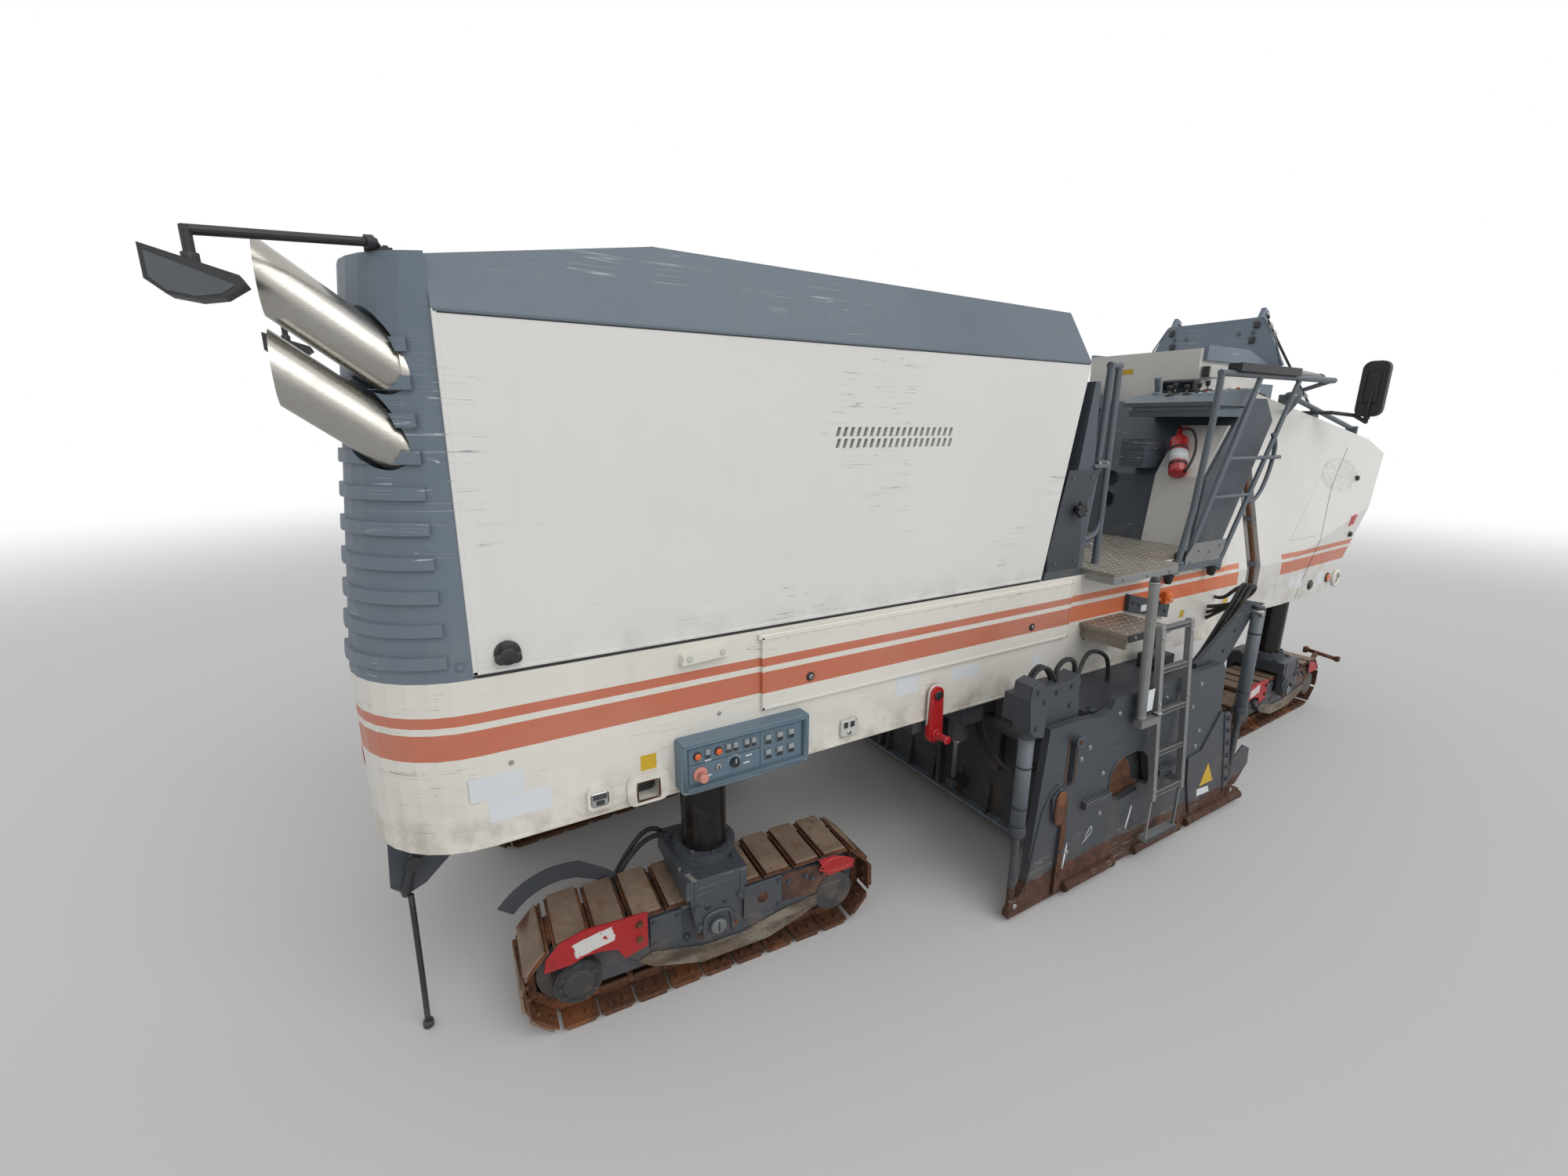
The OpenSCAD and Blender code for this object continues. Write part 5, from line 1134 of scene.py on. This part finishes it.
# Rear: round red lamps with their rims, screws, and the sill under the louvre
def makeRearParts():
    piece = Piece("rearParts", "chassis")
    for place in (Matrix(), mirrored):
        piece.at = place
        piece.rod("blackPlastic", (-3.834, -0.4, 1.2), (-3.839, -0.4, 1.2), 0.058, 36, 0.002)
        piece.rod("redPaint", (-3.838, -0.4, 1.2), (-3.843, -0.4, 1.2), 0.05, 36, 0.002)
        piece.bolts("brightSteel", [(-3.835, y, z) for y in (-0.4, -0.1) for z in (1.02, 1.5)], 0.009,
            0.006, (-1, 0, 0))
        # the corner column's low screw beside the seam
        piece.studs("slateCorner", -0.86, [(-3.52, 1.62)], 0.01, 0.006)
    piece.at = Matrix()
    piece.block("darkMetal", (-3.84, -0.43, 1.56), (-3.833, 0.43, 1.5695), 0.002)
    piece.done()


makeRearParts()


# Shackles in the rear brackets, the black rod that hangs from the right one, and the belly pan
def makeTowParts():
    piece = Piece("towParts", "chassis")
    for place in (Matrix(), mirrored):
        piece.at = place
        x, z = -3.735, 0.76
        piece.pin("brightSteel", (x, z), -0.515, -0.405, 0.025, 24, 0.003)
        piece.pin("darkMetal", (x, z), -0.527, -0.515, 0.034, 6, smooth=False)
        piece.tube("darkMetal", [(x, -0.503, z), (x - 0.028, -0.503, z - 0.07), (x - 0.04, -0.5, z - 0.125),
            (x - 0.045, -0.46, z - 0.158), (x - 0.04, -0.42, z - 0.125), (x - 0.028, -0.417, z - 0.07),
            (x, -0.417, z)], 0.017, 12)
        piece.studs("slateRail", -0.48, [(-3.64, 0.905), (-3.56, 0.905), (-3.7, 0.905)], 0.012, 0.01)
    piece.at = Matrix()
    piece.tube("blackPlastic", [(-3.762, -0.5, 0.62), (-3.764, -0.502, 0.3), (-3.77, -0.5, 0.02)], 0.011,
        10)
    piece.post("blackPlastic", (-3.769, -0.5), 0.002, 0.03, 0.02, 16, 0.004)
    # belly pan between the rear tracks, dusty
    piece.plate("slateHidden", [(-3.433, 0.85), (-3.02, 0.85), (-3.0, 0.77), (-3.08, 0.716), (-3.35, 0.712),
        (-3.433, 0.75)], -0.25, {"y": 0.5}, 0.02)
    piece.studs("slateHidden", -0.25, [(-3.36, 0.8), (-3.24, 0.8), (-3.12, 0.8)], 0.01, 0.008)
    for x in (-3.39, -3.12):
        for y in (-0.23, 0.17):
            piece.block("slateHidden", (x, y, 0.848), (x + 0.06, y + 0.06, 0.958), 0.004)
    piece.done()


makeTowParts()


# Mirrors: glass, backs, brackets and the clamps on their arms
def makeMirrorParts(sideName, side):
    piece = Piece("mirrorParts_" + sideName, "chassis", side)
    piece.block("mirrorGlass", (2.9295, -0.95, 2.5), (2.9315, -0.815, 2.835), 0.0005)
    piece.block("blackPlastic", (2.872, -0.925, 2.56), (2.884, -0.84, 2.79), 0.01, 3)
    piece.tube("blackPlastic", [(2.9, -0.88, 2.44), (2.868, -0.885, 2.45), (2.862, -0.89, 2.56),
        (2.876, -0.884, 2.65)], 0.009, 8)
    piece.plate("mirrorGlass", [(-4.056, 2.75), (-4.056, 2.694), (-4.028, 2.668), (-3.976, 2.66),
        (-3.93, 2.67), (-3.9, 2.692)], -0.9345, {"y": -0.002})
    for p, q in (((-3.98, -0.9, 2.73), (-3.98, -0.9, 2.76)), ((-3.6, -0.762, 2.861),
            (-3.62, -0.77, 2.858))):
        piece.rod("darkMetal", p, q, 0.018, 16, 0.002)
    piece.post("darkMetal", (2.9, -0.88), 2.44, 2.466, 0.02, 16, 0.002)
    piece.bolts("darkMetal", [(-3.608, -0.706, 2.854), (-3.572, -0.735, 2.854)], 0.008, 0.006, (0, 0, 1))
    piece.done()


onBothSides(makeMirrorParts)

# Tanks: rusty pole, painted shade along a crease, seams of the nose door, reflectors, small lamps, caps
tankForm = {"side": -0.86, "leanFrom": 1.4, "lean": math.tan(math.radians(14)), "taperFrom": 2.148,
    "taper": 0.1 / 1.922, "top": 2.64, "slopeFrom": 1.72, "slope": 0.36 / 2.04}


def tankRoof(x):  # height of the roof's slope
    return tankForm["top"] - (x - tankForm["slopeFrom"]) * tankForm["slope"]


def onTank(x, z):  # y of the right side, which leans in above and tapers toward the nose
    form = tankForm
    return form["side"] + max((z - form["leanFrom"]) * form["lean"],
        (x - form["taperFrom"]) * form["taper"], 0)


def makeTankParts(sideName, side):
    piece = Piece("tankParts_" + sideName, "chassis", side)
    piece.tube("rustySteel", [(1.655, onTank(1.655, z) + 0.03, z) for z in (1.25, 1.45, 1.75, 2.075)],
        0.0165, 12, 0)
    piece.tube("rustySteel", [(1.655, onTank(1.655, 2.075) + 0.03, 2.072), (1.65, -0.668, 2.1),
        (1.62, -0.666, 2.11)], 0.0165, 12, 0)
    for z in (1.4, 1.72, 2.03):
        piece.block("slateRail", (1.632, onTank(1.655, z) + 0.008, z), (1.678, onTank(1.655, z) + 0.11,
            z + 0.03), 0.004)
    # dark lines: painted shade along the front corner's crease, and the edges of the nose door
    steps = 12
    for xa, za, xb, zb in ((2.948, 1.906, 2.471, 1.227), (2.948, 1.906, 3.317, 2.213),
            (2.471, 1.227, 2.38, 1.075)):
        places = [(xa + (xb - xa) * k / steps, za + (zb - za) * k / steps) for k in range(steps + 1)]
        piece.tube("darkMetal", [(x, onTank(x, z), z) for x, z in places], 0.0022, 6, 0)
    for x, z in ((3.44, 1.96), (3.3, 1.5)):
        piece.pin("blackPlastic", (x, z), onTank(x, z) + 0.004, onTank(x, z) - 0.02, 0.024, 20, 0.005,
            tip=0.02)
    # red reflector, lamps low on the nose and the blank stickers beside them
    y = onTank(3.3, 1.6)
    piece.plate("redPaint", [(3.23, 1.57), (3.33, 1.585), (3.372, 1.665), (3.275, 1.65)], y + 0.012,
        {"y": -0.018}, 0.001)
    for x, z, finish in ((2.634, 1.145, "mirrorGlass"), (2.986, 1.162, "lampOrange")):
        y = onTank(x, z)
        piece.pin("blackPlastic", (x, z), y + 0.004, y - 0.01, 0.04, 28, 0.003)
        piece.pin(finish, (x, z), y - 0.008, y - 0.016, 0.031, 28, 0.004)
    for x, z, farX, farZ in ((2.33, 1.15, 2.44, 1.26), (2.76, 1.12, 2.88, 1.23), (2.2, 1.18, 2.29, 1.25)):
        y = onTank(farX, 1.2)
        piece.block("stickerWhite", (x, y - 0.0045, z), (farX, y + 0.004, farZ), 0.0005)
    piece.block("stickerYellow", (1.235, -0.8612, 1.185), (1.29, -0.859, 1.24))
    piece.block("stickerWhite", (1.297, -0.8612, 1.187), (1.35, -0.859, 1.238))
    # tow ring under the nose
    y = onTank(3.16, 1.12) - 0.012
    turns = [k * math.pi / 6 for k in range(13)]
    piece.tube("whiteChassis", [(3.16 + 0.062 * math.cos(a), y, 1.135 + 0.062 * math.sin(a))
        for a in turns], 0.014, 10, 0)
    # filler caps on the roof of the tank
    z = tankRoof(2.05)
    piece.post("blackPlastic", (2.05, -0.47), z - 0.004, z + 0.035, 0.06, 32, 0.006)
    piece.post("darkMetal", (2.05, -0.47), z + 0.03, z + 0.046, 0.035, 24, 0.004, tip=0.03)
    z = tankRoof(3.3)
    piece.post("blackPlastic", (3.3, -0.45), z - 0.006, z + 0.03, 0.045, 32, 0.006)
    # pipe that leads forward from the pad with its end cap, and a branch from the rail to the tank
    piece.tube("galvanised", [(1.6, -0.88, 2.725), (1.9, -0.85, 2.728), (2.18, -0.8, 2.722)], 0.024, 12)
    piece.rod("slateRail", (2.165, -0.803, 2.722), (2.215, -0.795, 2.72), 0.03, 20, 0.004)
    piece.tube("slateRail", [(1.65, -0.885, 2.622), (1.95, -0.8, 2.61), (2.15, -0.7, 2.56),
        (2.31, -0.578, 2.478)], 0.018, 10)
    piece.done()


onBothSides(makeTankParts)


# Gantry: shackles in its eyes, the two hoist ropes down to the nose, bolts, lamp and blank label
def makeGantryParts():
    piece = Piece("gantryParts", "chassis")
    for place in (Matrix(), mirrored):
        piece.at = place
        piece.pin("brightSteel", (2.268, 3.215), -0.362, -0.298, 0.0125, 16, 0.002)
        piece.tube("darkMetal", [(2.268, -0.354, 3.215), (2.3, -0.352, 3.195), (2.322, -0.33, 3.182),
            (2.3, -0.308, 3.195), (2.268, -0.306, 3.215)], 0.008, 10)
        # hoist rope with its clamps, made fast at the nose
        rope = [(2.32, -0.33, 3.185), (2.62, -0.345, 2.96), (2.94, -0.36, 2.74), (3.18, -0.38, 2.56),
            (3.24, -0.385, 2.505)]
        piece.tube("darkMetal", rope, 0.01, 8)
        for x, y, z in ((2.38, -0.333, 3.142), (2.45, -0.337, 3.09), (3.08, -0.373, 2.637)):
            piece.rod("brightSteel", (x - 0.018, y, z + 0.013), (x + 0.018, y, z - 0.013), 0.017, 8, 0.003)
        piece.block("slateRail", (3.19, -0.42, tankRoof(3.25) - 0.004), (3.29, -0.35, 2.5), 0.006)
        piece.pin("brightSteel", (3.245, 2.49), -0.43, -0.345, 0.014, 16, 0.002)
        for y, z in ((-0.305, 3.0), (-0.322, 3.11)):
            piece.post("darkMetal", (2.19, y), z, z + 0.05, 0.02, 12, 0.005)
        piece.bolts("slateRail", [(2.2, y, z) for y in (-0.38, -0.3) for z in (2.64, 2.74)], 0.012, 0.01,
            (-1, 0, 0))
        piece.bolts("slateRail", [(2.2, -0.3, 3.08), (2.2, -0.2, 3.08)], 0.012, 0.01, (-1, 0, 0))
        piece.tube("slateRail", [(2.2005, -0.53, 2.83), (2.2005, -0.47, 3.01), (2.2005, -0.362, 3.18)],
            0.006, 8, 0)
    # work lamp on the housing's right side, and a blank label on its rear
    piece.at = Matrix()
    piece.block("whitePlastic", (1.335, -0.486, 2.706), (1.48, -0.418, 2.792), 0.01, 3)
    piece.block("blackPlastic", (1.326, -0.478, 2.714), (1.337, -0.43, 2.784), 0.004, 2)
    piece.block("stickerYellow", (1.2985, 0.059, 2.758), (1.3005, 0.144, 2.797), 0.0004)
    piece.done()


makeGantryParts()


# Drum: a cutter with its pale steel tip in every holder
def makeCutters():
    piece = Piece("drumCutters", "drum")
    width, radius, cut = 1.0, 0.35, 0.43
    long = cut - radius
    lean = Matrix.Rotation(math.radians(18), 4, "Y")
    for place in (Matrix(), mirrored):
        for flight in range(3):
            for k in range(14):
                turn = math.radians(flight * 120 + k * 26)
                at = Matrix.Translation((-0.185, -width + 0.03 + k * (width - 0.06) / 14, 0.49))
                foot = Matrix.Translation((radius - 0.012, 0, -0.035))
                piece.at = place @ at @ Matrix.Rotation(turn, 4, "Y") @ foot @ lean
                piece.rod("rustySteel", (long - 0.034, 0.026, 0.03), (long - 0.02, 0.026, -0.018), 0.02, 10,
                    tip=0.017)
                piece.rod("brightSteel", (long - 0.02, 0.026, -0.018), (long - 0.01, 0.026, -0.046), 0.015,
                    8, tip=0.004)
    piece.done()


makeCutters()


# Scraper: flange, rusty strip, ribs, bolts and the rods of its cylinders
def makeScraperParts():
    piece = Piece("scraperParts", "scraper")
    piece.block("slateGantry", (-0.812, -0.99, 0.092), (-0.758, 0.99, 0.106), 0.003)
    piece.block("rustySteel", (-0.775, -1.0, 0.064), (-0.759, 1.0, 0.094), 0.003)
    for k in range(9):
        y = -0.92 + 0.23 * k
        piece.plate("slateScraper", [(-0.812, 0.106), (-0.76, 0.106), (-0.76, 0.3), (-0.775, 0.3)],
            y - 0.006, {"y": 0.012}, 0.002)
    piece.bolts("slateScraper", [(-0.776, 0.23 * k - 0.805, 0.079) for k in range(8)], 0.012, 0.009,
        (-1, 0, 0))
    for y in (-0.47, 0.47):
        piece.post("galvanised", (-0.85, y), 0.25, 0.64, 0.0165, 20)
        piece.block("slateScraper", (-0.88, y - 0.04, 0.185), (-0.758, y + 0.04, 0.25), 0.008, 2)
        piece.pin("rustySteel", (-0.85, 0.225), y - 0.052, y + 0.052, 0.017, 16, 0.003)
    piece.done()


makeScraperParts()


# Under the chassis: the scraper's cylinders and guides, frame rails, a bracket with its rod, hoses
def makeUnderParts():
    piece = Piece("underParts", "chassis")
    for place in (Matrix(), mirrored):
        piece.at = place
        y = -0.47
        piece.post("slateHidden", (-0.85, y), 0.52, 0.905, 0.03, 24, 0.004)
        piece.block("slateHidden", (-0.89, y - 0.05, 0.89), (-0.775, y + 0.05, 0.953), 0.008, 2)
        # guide rail of the scraper with its cross bracket, and three hoses beside it
        piece.blocks("slateHidden", [((-0.81, -0.76, 0.42), (-0.768, -0.7, 0.95)),
            ((-0.86, -0.99, 0.7), (-0.768, -0.64, 0.748))], 0.006)
        piece.bolts("slateHidden", [(-0.86, -0.93, 0.724), (-0.86, -0.7, 0.724)], 0.013, 0.01, (-1, 0, 0))
        for k in range(3):
            piece.tube("hoseRubber", [(-0.805, -0.6 - 0.04 * k, 0.96),
                (-0.87 - 0.02 * k, -0.61 - 0.04 * k, 0.86), (-0.93, -0.68 - 0.03 * k, 0.66),
                (-0.9, -0.83 - 0.03 * k, 0.52), (-0.84, -0.96 - 0.02 * k, 0.52),
                (-0.755, -1.06, 0.64 + 0.02 * k)], 0.012, 8)
        # frame rails and hoses under the chassis between the rear track and the unit
        piece.blocks("slateHidden", [((-1.9, -0.56, 0.9), (-0.76, -0.5, 0.954), 0.006),
            ((-1.56, -0.84, 0.88), (-1.49, -0.1, 0.954), 0.006),
            ((-1.18, -0.82, 0.82), (-1.04, -0.62, 0.954), 0.01, 2)])
        piece.post("slateHidden", (-1.11, -0.72), 0.7, 0.822, 0.055, 24, 0.005)
        piece.post("brightSteel", (-1.11, -0.72), 0.676, 0.702, 0.028, 20, 0.003)
        for k in range(4):
            piece.tube("hoseRubber", [(-2.38, -0.47 - 0.035 * k, 0.925),
                (-1.9, -0.48 - 0.035 * k, 0.905 - 0.012 * k), (-1.4, -0.44 - 0.035 * k, 0.88 - 0.01 * k),
                (-0.98, -0.42 - 0.045 * k, 0.9)], 0.011, 8)
    piece.done()


makeUnderParts()


# Rusty arm with a cross bar at the head of the front right track
def makeTrackArm():
    _, x, angle = columns[1]
    piece = Piece("trackArm", "track_front_right", trackPlace(x, angle, Matrix()))
    piece.rod("rustySteel", (0.56, -0.12, 0.3), (0.95, -0.06, 0.4), 0.02, 12)
    piece.block("rustySteel", (0.5, -0.15, 0.27), (0.6, -0.09, 0.33), 0.008, 2)
    piece.rod("rustySteel", (0.95, 0.0, 0.412), (0.95, -0.2, 0.392), 0.017, 12)
    piece.blocks("rustySteel", [((0.928, 0.0, 0.385), (0.972, 0.035, 0.44)),
        ((0.93, -0.235, 0.37), (0.97, -0.2, 0.415))], 0.006)
    piece.done()


makeTrackArm()


# Camera: the photograph's place, heading and lens
view = {"place": (-3.635, -3.06, 2.38), "heading": 59.17, "down": 14.17, "roll": -0.4, "lens": 14.98}


def placeCamera():
    heading, down, roll = (math.radians(view[k]) for k in ("heading", "down", "roll"))
    ahead = Vector((math.cos(heading) * math.cos(down), math.sin(heading) * math.cos(down),
        -math.sin(down)))
    right = Vector((math.sin(heading), -math.cos(heading), 0))
    below = ahead.cross(right)
    side = right * math.cos(roll) + below * math.sin(roll)
    under = below * math.cos(roll) - right * math.sin(roll)
    camera = bpy.data.objects.new("camera", bpy.data.cameras.new("camera"))
    camera.data.lens, camera.data.sensor_width = view["lens"], 36
    camera.data.clip_start, camera.data.clip_end = 0.05, 200
    turn = Matrix((side, -under, -ahead)).transposed().to_4x4()
    camera.matrix_world = Matrix.Translation(view["place"]) @ turn
    bpy.context.scene.collection.objects.link(camera)
    bpy.context.scene.camera = camera


placeCamera()

# Soft studio light over a pale floor
studio = {"sky": 0.62, "sun": 1.25, "sunAngle": 50, "sunTurn": (48, 0, 12), "floor": 0.6,
    "floorFade": (9.0, 22.0)}


def lightStudio():
    scene = bpy.context.scene
    scene.view_settings.view_transform = "Standard"
    world = bpy.data.worlds.new("studio")
    scene.world = world
    world.use_nodes = True
    tree = world.node_tree
    ground = tree.nodes["Background"]
    rays = tree.nodes.new("ShaderNodeLightPath")
    seen = tree.nodes.new("ShaderNodeMath")
    seen.operation = "MAXIMUM"
    shown = tree.nodes.new("ShaderNodeMath")
    shown.operation = "MAXIMUM"
    strength = tree.nodes.new("ShaderNodeMapRange")
    tree.links.new(rays.outputs["Is Camera Ray"], seen.inputs[0])
    tree.links.new(rays.outputs["Is Glossy Ray"], seen.inputs[1])
    tree.links.new(seen.outputs[0], shown.inputs[0])
    tree.links.new(rays.outputs["Is Transmission Ray"], shown.inputs[1])
    tree.links.new(shown.outputs[0], strength.inputs["Value"])
    strength.inputs["To Min"].default_value = studio["sky"]
    strength.inputs["To Max"].default_value = 1.0
    tree.links.new(strength.outputs[0], ground.inputs["Strength"])
    ground.inputs["Color"].default_value = (1, 1, 1, 1)
    sun = bpy.data.objects.new("sun", bpy.data.lights.new("sun", "SUN"))
    sun.data.energy, sun.data.angle = studio["sun"], math.radians(studio["sunAngle"])
    sun.rotation_euler = [math.radians(a) for a in studio["sunTurn"]]
    scene.collection.objects.link(sun)
    form = bmesh.new()
    bmesh.ops.create_circle(form, cap_ends=True, segments=64, radius=60)
    bmesh.ops.translate(form, vec=(0, 0, -0.001), verts=form.verts)
    mesh = bpy.data.meshes.new("floor")
    form.to_mesh(mesh)
    form.free()
    floor = bpy.data.objects.new("floor", mesh)
    scene.collection.objects.link(floor)
    net = Net("floorPale", None)
    level = studio["floor"]
    net.finish(colour=(level, level, level), roughness=0.9)
    net.shader.inputs["Specular IOR Level"].default_value = 0.0
    away = (net.x * net.x + net.y * net.y).root().ramp(*studio["floorFade"])
    rays = net.add("ShaderNodeLightPath", {}, {}, "Is Camera Ray")
    blank = net.add("ShaderNodeEmission", {}, {"Color": (1, 1, 1, 1), "Strength": 1.0})
    mixed = net.add("ShaderNodeMixShader", {}, {0: away * rays, 1: Wire(net, net.shader.outputs[0]),
        2: blank})
    net.tree.links.new(mixed.socket, net.tree.nodes["Material Output"].inputs["Surface"])
    mesh.materials.append(net.material)


lightStudio()
print("camera and studio ready")
